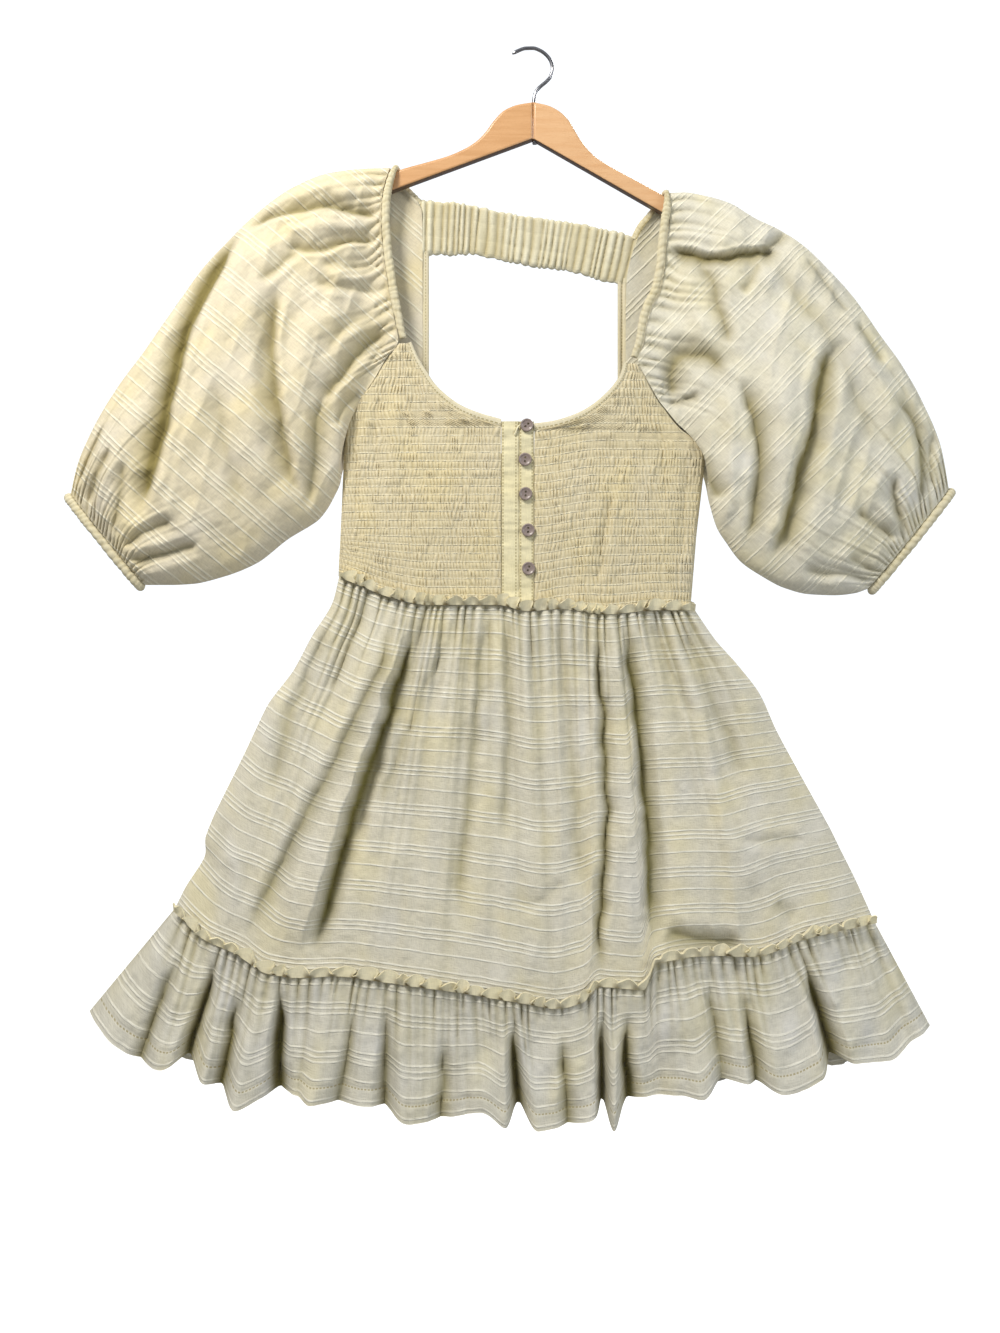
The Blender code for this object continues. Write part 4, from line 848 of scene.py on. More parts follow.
# The buttons: five of grey-brown resin, turned with a raised rim and drilled with two holes, and the loop of
# thin rouleau cord that holds the top one
BUTTON_LIFT, BUTTON_BACK = 0.5, 1.2
HOLE_RADIUS, HOLE_OFFSET, HOLE_DEPTH = 1.05, 1.9, 8
LOOP_RADIUS, LOOP_LIFT = 0.8, 1.1
BUTTONS = table(
    "x drop turn", (-6.2, 366.4, 45), (-7.9, 399.3, 5), (-7.4, 432.2, 0), (-5, 467.1, 2), (-4.6, 503.9, 20)
)
BUTTON_PROFILE = (
    (0, 0.9), (3.4, 0.95), (4.3, 1.2), (4.9, 1.75), (5.5, 1.9), (6.0, 1.7), (6.3, 1.0), (6.3, -0.5),
    (5.9, -1.0), (4.5, -1.2), (0, -1.2),
)
resin, tree, shader = new_material("turned_resin", 0.32)
swirl = add(tree, "TexNoise", add(tree, "TexCoord", out=3), None, 260.0, 3.0)
tree.links.new(
    mixed(tree, swirl, (0.15, 0.115, 0.105, 1), (0.36, 0.285, 0.255, 1)), shader.inputs["Base Color"]
)
turned = bmesh.new()
profile = [turned.verts.new((r * MM, 0, z * MM)) for r, z in BUTTON_PROFILE]
edges = [turned.edges.new(pair) for pair in zip(profile, profile[1:])]
bmesh.ops.spin(
    turned,
    geom=profile + edges,
    cent=(0, 0, 0),
    axis=(0, 0, 1),
    angle=math.tau,
    steps=48,
    use_duplicate=False,
)
bmesh.ops.remove_doubles(turned, verts=turned.verts, dist=1e-6)
bmesh.ops.recalc_face_normals(turned, faces=turned.faces)
blank_data = bpy.data.meshes.new("button")
turned.to_mesh(blank_data)
turned.free()
blank = placed("button_blank", blank_data)
drills = []
for side in (-1, 1):
    bpy.ops.mesh.primitive_cylinder_add(
        vertices=24, radius=HOLE_RADIUS * MM, depth=HOLE_DEPTH * MM, location=(0, side * HOLE_OFFSET * MM, 0)
    )
    drills.append(bpy.context.object)
    cut_hole = blank.modifiers.new("hole", "BOOLEAN")
    cut_hole.object = drills[-1]
    cut_hole.operation = "DIFFERENCE"
bpy.context.view_layer.update()
button_data = bpy.data.meshes.new_from_object(blank.evaluated_get(bpy.context.evaluated_depsgraph_get()))
for scrap in (blank, *drills):
    bpy.data.objects.remove(scrap)
button_data.shade_smooth()
button_data.set_sharp_from_angle(angle=math.radians(50))
for k, (x, drop, turn) in enumerate(zip(*BUTTONS.values())):
    face = float(body_depth(x, drop, FRONT_DEPTH)) + BAND_CLOTH + BUTTON_LIFT + BUTTON_BACK
    button = placed(f"button_{k + 1}_turned", button_data)
    button.location = (x * MM, -face * MM, -drop * MM)
    button.rotation_euler = (math.radians(90), math.radians(turn), 0)
    dress_with(button, resin)
    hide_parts(f"button_{k + 1}")
    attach(button, "root")

cord_cotton = plain_cotton("cord_cotton", (0.80, 0.74, 0.52, 1), ())
loop_face = float(body_depth(-16, 370, FRONT_DEPTH)) + BAND_CLOTH + LOOP_LIFT
loop_line = [
    (-18.5, -loop_face, 375.5),
    (-17, -loop_face - 0.3, 374),
    (-15.8, -loop_face - 0.3, 370),
    (-13.7, -loop_face, 367.2),
    (-11.8, -loop_face + 0.2, 365.6),
]
fine = np.linspace(0, 4, 25)
bends = [[float(smooth(range(5), [p[axis] for p in loop_line], f)) for axis in range(3)] for f in fine]
loop = round_cord("loop_cord", bends, LOOP_RADIUS, 10, cord_cotton)
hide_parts("button_loop")
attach(loop, "root")

# The balloon sleeves: each cut wide, gathered into the neck casing above and into the elastic cuff below, so
# that the cloth falls in deep soft folds. The cotton has pale cords woven in, three close together and one
# alone, which run down across the sleeve because it is cut raglan.
SLEEVE_LEFT = table(
    "high_x high_drop low_x low_drop front back",
    (-138, 115.5, -182.5, 354.5, 14, 13), (-152, 116, -184.5, 375, 20, 15),
    (-172, 117, -185.5, 396, 26, 17), (-200, 121, -187, 419, 31, 19), (-232, 134, -193, 434, 35, 22),
    (-262, 155, -206, 454, 39, 24), (-292, 183, -238, 475, 42, 25), (-320, 213, -268, 498, 43, 26),
    (-347, 252, -300, 511, 42, 26), (-375, 292, -330, 518, 40, 25), (-402, 328, -351, 519, 36, 23),
    (-425, 366, -364, 519, 30, 20), (-441, 402, -371, 519, 22, 16), (-448, 430, -376, 519, 13, 11),
)
SLEEVE_RIGHT = table(
    "high_x high_drop low_x low_drop front back",
    (132, 139.5, 170, 393.5, 14, 13), (146, 139, 169.5, 407, 20, 15), (165, 142, 169.5, 420, 26, 17),
    (190, 149, 170, 433, 31, 19), (215, 164, 173, 447, 35, 22), (240, 176, 178, 463, 39, 24),
    (262, 191, 188, 479, 42, 25), (285, 213, 201, 496, 43, 26), (308, 238, 221, 510, 42, 26),
    (333, 273, 244, 522, 40, 25), (357, 307, 268, 528, 36, 23), (378, 344, 292, 529, 30, 20),
    (395, 385, 312, 527, 22, 16), (403, 425, 324, 523, 13, 11),
)
ARMHOLE_FRONT_LEFT = table(
    "x drop",
    (-138, 115.5), (-145.5, 145), (-146.5, 170), (-144.5, 200), (-141.5, 220), (-138.5, 240), (-134.5, 260),
    (-130, 284), (-143, 303), (-152, 319), (-161, 332), (-171, 344), (-182.5, 354.5),
)
ARMHOLE_BACK_LEFT = table(
    "x drop", (-138, 115.5), (-122, 137), (-108, 150), (-107.5, 195), (-107.5, 320), (-107.5, 387), (
        -150, 371.5
    ), (-182.5, 354.5)
)
ARMHOLE_FRONT_RIGHT = table(
    "x drop",
    (132, 139.5), (131.8, 165), (128.8, 190), (126.8, 214), (122.5, 238), (114.5, 253), (109.5, 270),
    (107, 287), (101, 303), (107.5, 318), (114, 330), (121, 342), (129, 352), (143, 367.5), (161, 379.5),
    (170, 393.5),
)
ARMHOLE_BACK_RIGHT = table(
    "x drop", (132, 139.5), (116, 160), (103, 178), (91, 226), (90.5, 300), (90.5, 387), (140, 381.5), (
        170, 393.5
    )
)
SLEEVE_BOW_REACH = 4.0
NECK_GATHERS, NECK_RISE, CUFF_GATHERS, CUFF_RISE = 28, 4.6, 23, 4.4
SLEEVE_ROWS, SLEEVE_FRONT_COLUMNS, SLEEVE_BACK_COLUMNS = 190, 200, 100
SLEEVE_ROUND, NECK_ROUND = 0.42, 0.22
SLEEVE_LEFT_FOLDS = (
    ([(-278, 172), (-300, 212), (-320, 255), (-338, 310), (-350, 365), (-366, 420), (-380, 462)], 15, 6, -15),
    ([(-256, 190), (-284, 232), (-302, 290), (-318, 350), (-330, 420)], 9, 14, 5),
    ([(-130, 166), (-170, 160), (-210, 158), (-250, 167), (-280, 182)], 9, 4, -9),
    ([(-146, 187), (-180, 192), (-210, 200), (-240, 197)], 8, 3.5, -8),
    ([(-140, 176), (-190, 176), (-240, 182)], 6, 6, 3),
    ([(-222, 200), (-238, 212), (-264, 230)], 8, 5, -6),
    ([(-138, 236), (-175, 236), (-217, 231)], 7, 4, -5),
    ([(-140, 212), (-172, 216), (-206, 212)], 7, 5, -4),
    ([(-243, 228), (-249, 290), (-243, 350), (-234, 400), (-224, 440)], 14, 4.5, -9),
    ([(-196, 250), (-218, 300), (-226, 360), (-222, 420)], 9, 9, 4),
    ([(-203, 335), (-210, 390), (-214, 448)], 5, 10, -7),
    ([(-134, 270), (-160, 290), (-185, 320), (-206, 350)], 8, 5, -8),
    ([(-150, 256), (-180, 276), (-200, 300)], 7, 5, -4),
    ([(-138, 276), (-148, 292), (-158, 308)], 6, 6, -5),
    ([(-168, 330), (-182, 350), (-186, 372)], 6, 5, -5),
    ([(-272, 225), (-268, 300), (-262, 380), (-254, 445)], 12, 10, 4),
    ([(-300, 330), (-292, 390), (-276, 450)], 12, 7, -4),
    ([(-430, 448), (-416, 415), (-404, 385)], 5, 5, -6),
    ([(-440, 425), (-428, 395), (-412, 365)], 5, 4, -5),
    ([(-405, 472), (-396, 440), (-390, 400)], 6, 5, -6),
    ([(-392, 498), (-362, 492), (-318, 478)], 7, 4, -7),
    ([(-395, 484), (-370, 470), (-340, 458)], 6, 4, -6),
    ([(-370, 400), (-352, 430), (-346, 462)], 7, 9, 4),
    ([(-180, 215), (-190, 260), (-200, 300)], 9, 9, 3),
    ([(-168, 150), (-205, 142), (-245, 150)], 8, 8, 3),
)
SLEEVE_RIGHT_FOLDS = (
    ([(124, 193), (150, 202), (180, 207), (212, 203), (240, 202)], 12, 2.5, -11),
    ([(130, 184), (170, 190), (210, 190)], 7, 7, 3),
    ([(140, 214), (175, 220), (210, 216)], 6, 6, 3),
    ([(246, 176), (234, 190), (214, 204)], 5, 7, -7),
    ([(160, 206), (176, 244), (188, 296)], 10, 5, -7),
    ([(148, 220), (150, 250), (160, 285)], 7, 7, 3),
    ([(217, 212), (209, 228), (197, 246)], 8, 4, -5),
    ([(136, 345), (133, 318), (145, 300), (165, 303), (186, 322)], 12, 14, -9),
    ([(122, 270), (145, 280), (170, 296), (190, 330)], 7, 7, 4),
    ([(128, 341), (142, 343), (160, 340)], 7, 3, -6),
    ([(304, 284), (280, 302), (269, 326), (266, 362), (250, 420), (238, 470), (230, 506)], 5, 14, -11),
    ([(228, 250), (240, 310), (238, 380), (222, 450)], 14, 12, 4),
    ([(300, 300), (286, 360), (272, 430), (252, 500)], 12, 12, 4),
    ([(196, 322), (209, 360), (214, 400), (211, 440), (199, 488)], 5, 11, -9),
    ([(178, 325), (188, 370), (188, 420), (180, 470)], 8, 8, 5),
    ([(158, 396), (166, 412), (180, 438)], 9, 9, -8),
    ([(258, 208), (280, 232), (304, 262)], 9, 4, -5),
    ([(306, 268), (320, 286), (336, 308)], 8, 4, -5),
    ([(240, 190), (272, 230), (300, 270), (330, 330), (348, 392)], 9, 9, 6),
    ([(222, 206), (254, 250), (282, 290), (306, 340), (322, 400)], 8, 12, -4),
    ([(340, 342), (360, 358), (370, 392), (373, 446)], 4, 9, -8),
    ([(342, 412), (350, 450), (362, 484)], 7, 4, -7),
    ([(304, 450), (326, 464), (350, 480)], 5, 7, -6),
    ([(296, 494), (318, 502), (346, 513)], 4, 7, -5),
    ([(256, 507), (295, 511), (340, 517)], 4, 7, -5),
    ([(316, 420), (336, 452), (350, 470)], 8, 8, 4),
    ([(384, 372), (382, 400), (384, 430)], 5, 5, -5),
)
SLEEVE_BACK_LEFT_FOLDS = (
    ([(-262, 180), (-292, 240), (-318, 320), (-336, 390), (-352, 450)], 12, 10, -9),
    ([(-200, 210), (-215, 290), (-222, 360), (-226, 430)], 9, 11, -7),
    ([(-140, 180), (-190, 196), (-238, 205)], 7, 5, -5),
    ([(-295, 250), (-300, 330), (-296, 410), (-290, 470)], 9, 9, -5),
    ([(-420, 430), (-405, 395), (-392, 360)], 6, 6, -4),
    ([(-150, 300), (-162, 340), (-176, 366)], 7, 7, -4),
)
SLEEVE_BACK_RIGHT_FOLDS = (
    ([(250, 205), (276, 280), (292, 360), (298, 470)], 10, 12, -9),
    ([(190, 250), (204, 320), (214, 400), (216, 470)], 9, 9, -7),
    ([(120, 205), (165, 216), (214, 214)], 5, 7, -5),
    ([(228, 260), (246, 340), (252, 420)], 9, 9, -5),
    ([(364, 360), (352, 400), (350, 450)], 6, 6, -4),
    ([(118, 300), (132, 340), (150, 372)], 7, 7, -4),
)

# The pale cords woven into the cotton: a group of three and one alone in every repeat, broken by slubs
CORD_REPEAT, CORD_SWAY = 0.039, 0.004
CORD_PLACES = (0.128, 0.244, 0.359, 0.718)
cords, given, result = new_group(
    "woven_cords", (("Cut", "Vector", None),), (("Cords", "Float"), ("Height", "Float"))
)
drift = noise_on(cords, given["Cut"], (18, 18, 1), 2.0)
down = add(cords, "SeparateXYZ", given["Cut"], out=1)
place = maths(cords, "ADD", down, maths(cords, "MULTIPLY", maths(cords, "SUBTRACT", drift, 0.5), CORD_SWAY))
repeat = maths(cords, "FRACT", maths(cords, "DIVIDE", place, CORD_REPEAT))
lines = None
for centre in CORD_PLACES:
    apart = maths(cords, "ABSOLUTE", maths(cords, "SUBTRACT", repeat, centre))
    line = step_up(cords, apart, 0.034, 0.010)
    lines = line if lines is None else maths(cords, "MAXIMUM", lines, line)
slubs = noise_on(cords, given["Cut"], (90, 420, 1), 3.0)
broken = maths(cords, "MULTIPLY", lines, add(cords, "MapRange", slubs, 0.35, 0.62, 0.45, 1.0))
cords.links.new(broken, result["Cords"])
cords.links.new(broken, result["Height"])

# The dark colour painted into the sleeves' folds as shade, and their pale cords
SLEEVE_FOLD_SHADE, SLEEVE_CORD = (0.24, 0.20, 0.07, 1), (0.86, 0.82, 0.66, 1)


def along(lines, name, share):
    """A column's value at a share, 0 to 1, of the way down its table."""
    column = lines[name]
    return smooth(np.arange(len(column)), column, np.asarray(share) * (len(column) - 1))


def uneven(share, count, seed, spread=0.5):
    """How many gathers lie before each share, 0 to 1, of a row of them that are unlike in width."""
    widths = np.random.default_rng(seed).uniform(1 - spread, 1 + spread, count)
    return np.interp(share, np.concatenate([[0], np.cumsum(widths)]) / widths.sum(), np.arange(count + 1))


def sleeve_side(lines, edge, folds, station, share, side):
    """One side of a sleeve, front or back: x, distance from the middle, drop and how deep in a fold."""
    values = {name: along(lines, name, station / (len(lines["front"]) - 1)) for name in lines}
    lengths = np.concatenate([[0], np.cumsum(np.hypot(np.diff(edge["x"]), np.diff(edge["drop"])))])
    lengths /= lengths[-1]
    bow_share = np.clip(1 - station / SLEEVE_BOW_REACH, 0, 1) ** 1.5
    places = []
    for axis in ("x", "drop"):
        high, low = values["high_" + axis], values["low_" + axis]
        bow = smooth(lengths, edge[axis], share) - edge[axis][0] - (edge[axis][-1] - edge[axis][0]) * share
        places.append(high + (low - high) * share + bow * bow_share)
    x, drop = places
    cap = np.clip(4 * share * (1 - share) / 0.2, 0, 1) ** NECK_ROUND
    roundness = NECK_ROUND + (SLEEVE_ROUND - NECK_ROUND) * ease(station / SLEEVE_BOW_REACH)
    body = body_depth(x, drop, FRONT_DEPTH if side < 0 else BACK_DEPTH) + CLOTH
    full = values["front" if side < 0 else "back"] * np.clip(4 * share * (1 - share), 0, 1) ** roundness
    depth = body * cap + (full - body * cap) * ease(station / 3)
    rise, deep = creases(x, drop, folds)
    last = len(lines["front"]) - 1
    gathered = 0.72 if side < 0 else 1.0
    neck_reach = 1.3 + 1.1 * rough(40 * share, 0 * share, 1, 93)
    cuff_reach = 1.5 + 1.2 * rough(36 * share, 0 * share, 1, 95)
    near_neck = np.exp(-station / np.maximum(neck_reach, 0.4)) * (1 - ease((share - gathered) / 0.05))
    near_cuff = np.exp(-(last - station) / np.maximum(cuff_reach, 0.4))
    middle = ease(station / 1.2) * cap * ease((last - station) / 1.2) * ease(full / 14)
    billow = 1 - 2 * abs(rough(x * 0.9 + drop * 0.25, drop * 0.35, 17, 81)) ** 0.8
    rise = (
        (
            rise
            + 1.5 * billow
            + 1.9 * rough(x, drop * 0.6, 34, 83)
            + 1.0 * rough(x, drop * 0.8, 13, 85)
            + 0.35 * rough(x, drop, 5, 87)
        )
        * middle
    )
    neck_turn = uneven(share, NECK_GATHERS, 89) + 0.5 * rough(7 * share, 0.7 * station, 1, 89)
    cuff_turn = uneven(share, CUFF_GATHERS, 91) + 0.5 * rough(7 * share, 0.7 * station, 1, 91)
    neck_pleat, cuff_pleat = pleats(neck_turn), pleats(cuff_turn)
    at_neck = NECK_RISE * near_neck * (neck_pleat - 0.6) * ease(station / 0.25)
    at_cuff = CUFF_RISE * near_cuff * (cuff_pleat - 0.6) * ease((last - station) / 0.25)
    rise += (at_neck + at_cuff) * cap
    # Painted shade in the folds and in the gathers at the neck and the cuff
    deep = np.maximum(
        deep * middle, 0.6 * np.maximum(near_neck * (1 - neck_pleat), near_cuff * (1 - cuff_pleat))
    )
    return x, side * np.maximum(depth + rise, 0.3 * depth), drop, deep


def closer_at_seams(share):
    """Even shares across one side of a sleeve, drawn closer together beside its seams."""
    return (0.5 - 0.5 * np.cos(math.pi * share)) * 0.45 + share * 0.55


# The two sleeves are one cotton: the right one's paler, greyer, cooler colour is painted light, for the
# cooler light on that side
sleeves = (
    (
        "sleeve_left",
        SLEEVE_LEFT,
        ARMHOLE_FRONT_LEFT,
        ARMHOLE_BACK_LEFT,
        SLEEVE_LEFT_FOLDS,
        SLEEVE_BACK_LEFT_FOLDS,
        41,
        (0.72, 0.647, 0.475, 1),
    ),
    (
        "sleeve_right",
        SLEEVE_RIGHT,
        ARMHOLE_FRONT_RIGHT,
        ARMHOLE_BACK_RIGHT,
        SLEEVE_RIGHT_FOLDS,
        SLEEVE_BACK_RIGHT_FOLDS,
        -45,
        (0.72, 0.685, 0.56, 1),
    ),
)
for name, lines, front_edge, back_edge, front_folds, back_folds, bias, colour in sleeves:
    station = np.linspace(0, len(lines["front"]) - 1, SLEEVE_ROWS)[:, None]
    front_share = closer_at_seams(np.linspace(0, 1, SLEEVE_FRONT_COLUMNS))
    back_share = closer_at_seams(np.linspace(1, 0, SLEEVE_BACK_COLUMNS))
    sides = [
        sleeve_side(lines, edge, folds, station, share[None, :-1], side)
        for edge, folds, share, side in (
            (front_edge, front_folds, front_share, -1), (back_edge, back_folds, back_share, 1)
        )
    ]
    x, y, drop, deep = (np.concatenate(parts, 1) for parts in zip(*sides))
    turn = math.radians(bias)
    cut = np.stack(
        [x * math.cos(turn) + drop * math.sin(turn), drop * math.cos(turn) - x * math.sin(turn)], -1
    )
    fabric = cotton(name + "_cotton", colour, SLEEVE_FOLD_SHADE, SLEEVE_CORD)
    sleeve = cloth_piece(
        name + "_cloth", np.stack([x, y, drop], -1), cut, deep, fabric, thick=1.2, step=4, closed=True
    )
    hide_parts(name)
    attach(sleeve, "root")

# The neck casings and the cuffs: narrow tubes of the cotton sewn round elastic, which gathers them into
# small pinches all along. The casings run from the bodice over the hanger's arms to the back strap.
CASING_RINGS, CASING_PINCHES = 230, 46
CUFF_RINGS, CUFF_PINCHES = 240, 42
TUBE_SIDES = 18
CASING_LEFT = table(
    "x y drop radius",
    (-125.5, -11.2, 282, 3.3), (-130, -11.8, 260, 3.7), (-134, -12, 240, 3.9), (-137, -12, 220, 3.9),
    (-140, -12, 198, 3.9), (-142, -12, 172, 3.9), (-141, -12, 146, 3.9), (-137, -11.5, 128, 3.4),
    (-133, -7.5, 116.6, 2.3), (-132, 0, 114.6, 2.3), (-130, 7.5, 116.6, 2.3), (-125, 11, 130, 3.4),
    (-115, 12, 141, 3.6), (-106.5, 12, 149, 3.2),
)
CASING_RIGHT = table(
    "x y drop radius",
    (97, -11.2, 300, 3.3), (102.5, -11.8, 284, 3.7), (105, -12, 267, 3.9), (110.5, -12, 249, 3.9),
    (118, -12, 233, 3.9), (122.3, -12, 212, 3.9), (124.3, -12, 188, 3.9), (127, -12, 166, 3.9),
    (129, -11.5, 152, 3.4), (129, -7.5, 140.6, 2.3), (128, 0, 138.6, 2.3), (126, 7.5, 140.6, 2.3),
    (117, 11.5, 154, 3.2), (105, 12, 169, 3.4), (98.5, 12, 181, 3.2),
)
CUFF_RADIUS, CUFF_STEP = 4.4, 4.5
casing_cotton = plain_cotton("casing_cotton", (0.72, 0.655, 0.46, 1), (), crinkle=0.9)


def pinched(count, sides, pinches, seed):
    """The share of its radius that a gathered tube keeps at each place along it and round it."""
    run, turn = np.linspace(0, 1, count)[:, None], (np.arange(sides) / sides)[None, :]
    phase = uneven(run, pinches, seed, 0.4) + 0.3 * np.sin(math.tau * turn + 9 * run)
    return 0.84 + 0.19 * pleats(phase, 0.7) + 0.08 * rough(run * pinches, turn * 5, 1, seed + 1)


for name, path, seed in (("neck_casing_left", CASING_LEFT, 97), ("neck_casing_right", CASING_RIGHT, 101)):
    shares = np.linspace(0, 1, CASING_RINGS)
    centres = np.stack([along(path, axis, shares) for axis in ("x", "y", "drop")], -1)
    radii = (
        along(path, "radius", shares)[:, None]
        * (pinched(CASING_RINGS, TUBE_SIDES, CASING_PINCHES, seed) + 0.05)
    )
    casing = round_cord(name + "_cloth", centres, radii, TUBE_SIDES, casing_cotton, aside=(1, 0, 0))
    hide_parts(name)
    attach(casing, "root")

for name, lines, seed in (("cuff_left", SLEEVE_LEFT, 103), ("cuff_right", SLEEVE_RIGHT, 107)):
    high = np.array((lines["high_x"][-1], lines["high_drop"][-1]))
    low = np.array((lines["low_x"][-1], lines["low_drop"][-1]))
    chord = (low - high) / np.linalg.norm(low - high)
    outward = np.array((-chord[1], chord[0])) if name == "cuff_left" else np.array((chord[1], -chord[0]))
    middle = (high + low) / 2 + outward * CUFF_STEP
    reach = np.linalg.norm(low - high) / 2 - CUFF_RADIUS / 2
    depth = (lines["front"][-1] + lines["back"][-1]) / 2 - CUFF_RADIUS / 2
    turns = np.linspace(0, math.tau, CUFF_RINGS + 1)[:-1]
    spots = middle + chord * reach * np.cos(turns)[:, None]
    centres = np.stack([spots[:, 0], depth * np.sin(turns), spots[:, 1]], -1)
    radii = CUFF_RADIUS * (pinched(CUFF_RINGS, TUBE_SIDES, CUFF_PINCHES, seed) + 0.03)
    blend = np.linspace(0, 1, 24)[:, None]
    radii[-24:] = radii[-24:] * (1 - blend) + radii[:1] * blend
    aside = (outward[0], 0, outward[1])
    cuff = round_cord(name + "_cloth", centres, radii, TUBE_SIDES, casing_cotton, closed=True, aside=aside)
    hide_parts(name)
    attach(cuff, "root")

# The back of the neck: a wide elastic strap between the two sleeves, and below it a bound edge down each
# side of the open back
STRAP_LINES = table(
    "high_x high_drop low_x low_drop",
    (-111, 143, -111, 195), (-80, 144, -80, 196), (-60, 147, -60, 195), (-40, 151.5, -41, 199),
    (0, 158.5, -2, 206.5), (47, 165, 36, 212), (80, 173, 62, 219), (105, 180, 92.5, 227),
)
STRAP_GATHERS, STRAP_CASINGS = 31, 3
STRAP_FRONT_PUFF, STRAP_BACK_PUFF = 3.2, 1.8
BACK_BINDINGS = (
    ("back_binding_left", -108.6, -101.3, 190, 384.5, 127),
    ("back_binding_right", 82.8, 91.6, 219, 388, 131),
)
share, down = net(55, 259)
x, drop = (
    along(STRAP_LINES, "high_" + axis, share) * (1 - down) + along(STRAP_LINES, "low_" + axis, share) * down
    for axis in ("x", "drop")
)
casing_rows = pleats(STRAP_CASINGS * down, 0.5)
turn = (
    uneven((x - x[:, :1]) / (x[:, -1:] - x[:, :1]), STRAP_GATHERS, 109, 0.45)
    + 0.16 * rough(16 * share, 1.6 * down, 1, 113)
)
pleat = pleats(turn, 0.75) * (0.8 + 0.35 * rough(24 * share, 0.8 * down, 1, 115))
edge = np.clip(np.minimum(down, 1 - down) * 14, 0, 1) ** 0.5
puff = (0.8 + 0.2 * casing_rows) * (0.1 + 1.1 * pleat)
drop = drop + (1.9 * (pleat - 0.6) + 0.9 * rough(30 * share, 0 * down, 1, 117)) * (2 * down - 1) ** 3
strap_cotton = plain_cotton("strap_cotton", (0.74, 0.70, 0.53, 1), (), crinkle=0.7)
front_face = body_depth(x, drop, BACK_DEPTH) + 1.2 - STRAP_FRONT_PUFF * puff * edge
back_face = body_depth(x, drop, BACK_DEPTH) + 2.6 + STRAP_BACK_PUFF * puff * edge
ring = np.concatenate([np.stack([x, front_face, drop], -1), np.stack([x, back_face, drop], -1)[::-1]], 0)
ring = ring.transpose(1, 0, 2)
# Painted shade in the hollows between the strap's gathers
fold_shade = (
    0.8 * (1 - np.concatenate([pleat, pleat[::-1]], 0)).T * np.concatenate([edge + 0 * x, edge + 0 * x], 0).T
)
strap = tube("back_strap_cloth", ring, ring[..., ::2], fold_shade, strap_cotton)
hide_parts("back_strap")
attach(strap, "root")

for name, left, right, top, bottom, seed in BACK_BINDINGS:
    drops = np.linspace(top, bottom - SEAM_GAP, 40)
    highs, lows = upright(left, drops), upright(right, drops)
    binding = strip(name, highs, lows, BACK_DEPTH, BINDING_CLOTH, 1, bound_cotton, 0.25, seed, roll=0.15)
    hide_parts(name)
    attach(binding, "root")

# The skirt: a wide front and a plainer back of the corded cotton, gathered into the waist seam, so that the
# cords run across it and dip into each fold
SKIRT_FRONT_DEPTH, SKIRT_BACK_DEPTH = 43.0, 31.0
SKIRT_ROUND = 0.6
BACK_SEAM_DROP = 905.0
SKIRT_FALL = 372
SKIRT_GATHERS, SKIRT_GATHER_RISE = 40, 5.6
BROAD_GATHERS, BROAD_RISE = 16, 6.6
SKIRT_BILLOW = 1.7
# The skirt's cotton: its cream greyer and cooler than the bodice's, painted for the dimmer, cooler light
# lower down; the dark olive painted into its folds as shade; and its pale cords
SKIRT_SHADED_CREAM, SKIRT_FOLD_SHADE, SKIRT_CORD = (0.68, 0.64, 0.515, 1), (0.22, 0.19, 0.06, 1), (0.84, 0.82, 0.71, 1)
SKIRT_LINES = table(
    "waist_x seam_x seam_drop",
    (-188, -347, 832), (-176, -315, 858), (-160, -282, 872), (-142, -252, 889), (-128, -222, 892),
    (-110, -186, 890), (-86, -140, 895), (-57, -85, 902), (-28, -22, 912), (4, 20, 919), (36, 46, 913),
    (62, 63, 899), (78, 103, 902), (86, 115, 878), (104, 162, 871), (124, 210, 872), (142, 262, 856),
    (157, 330, 843),
)
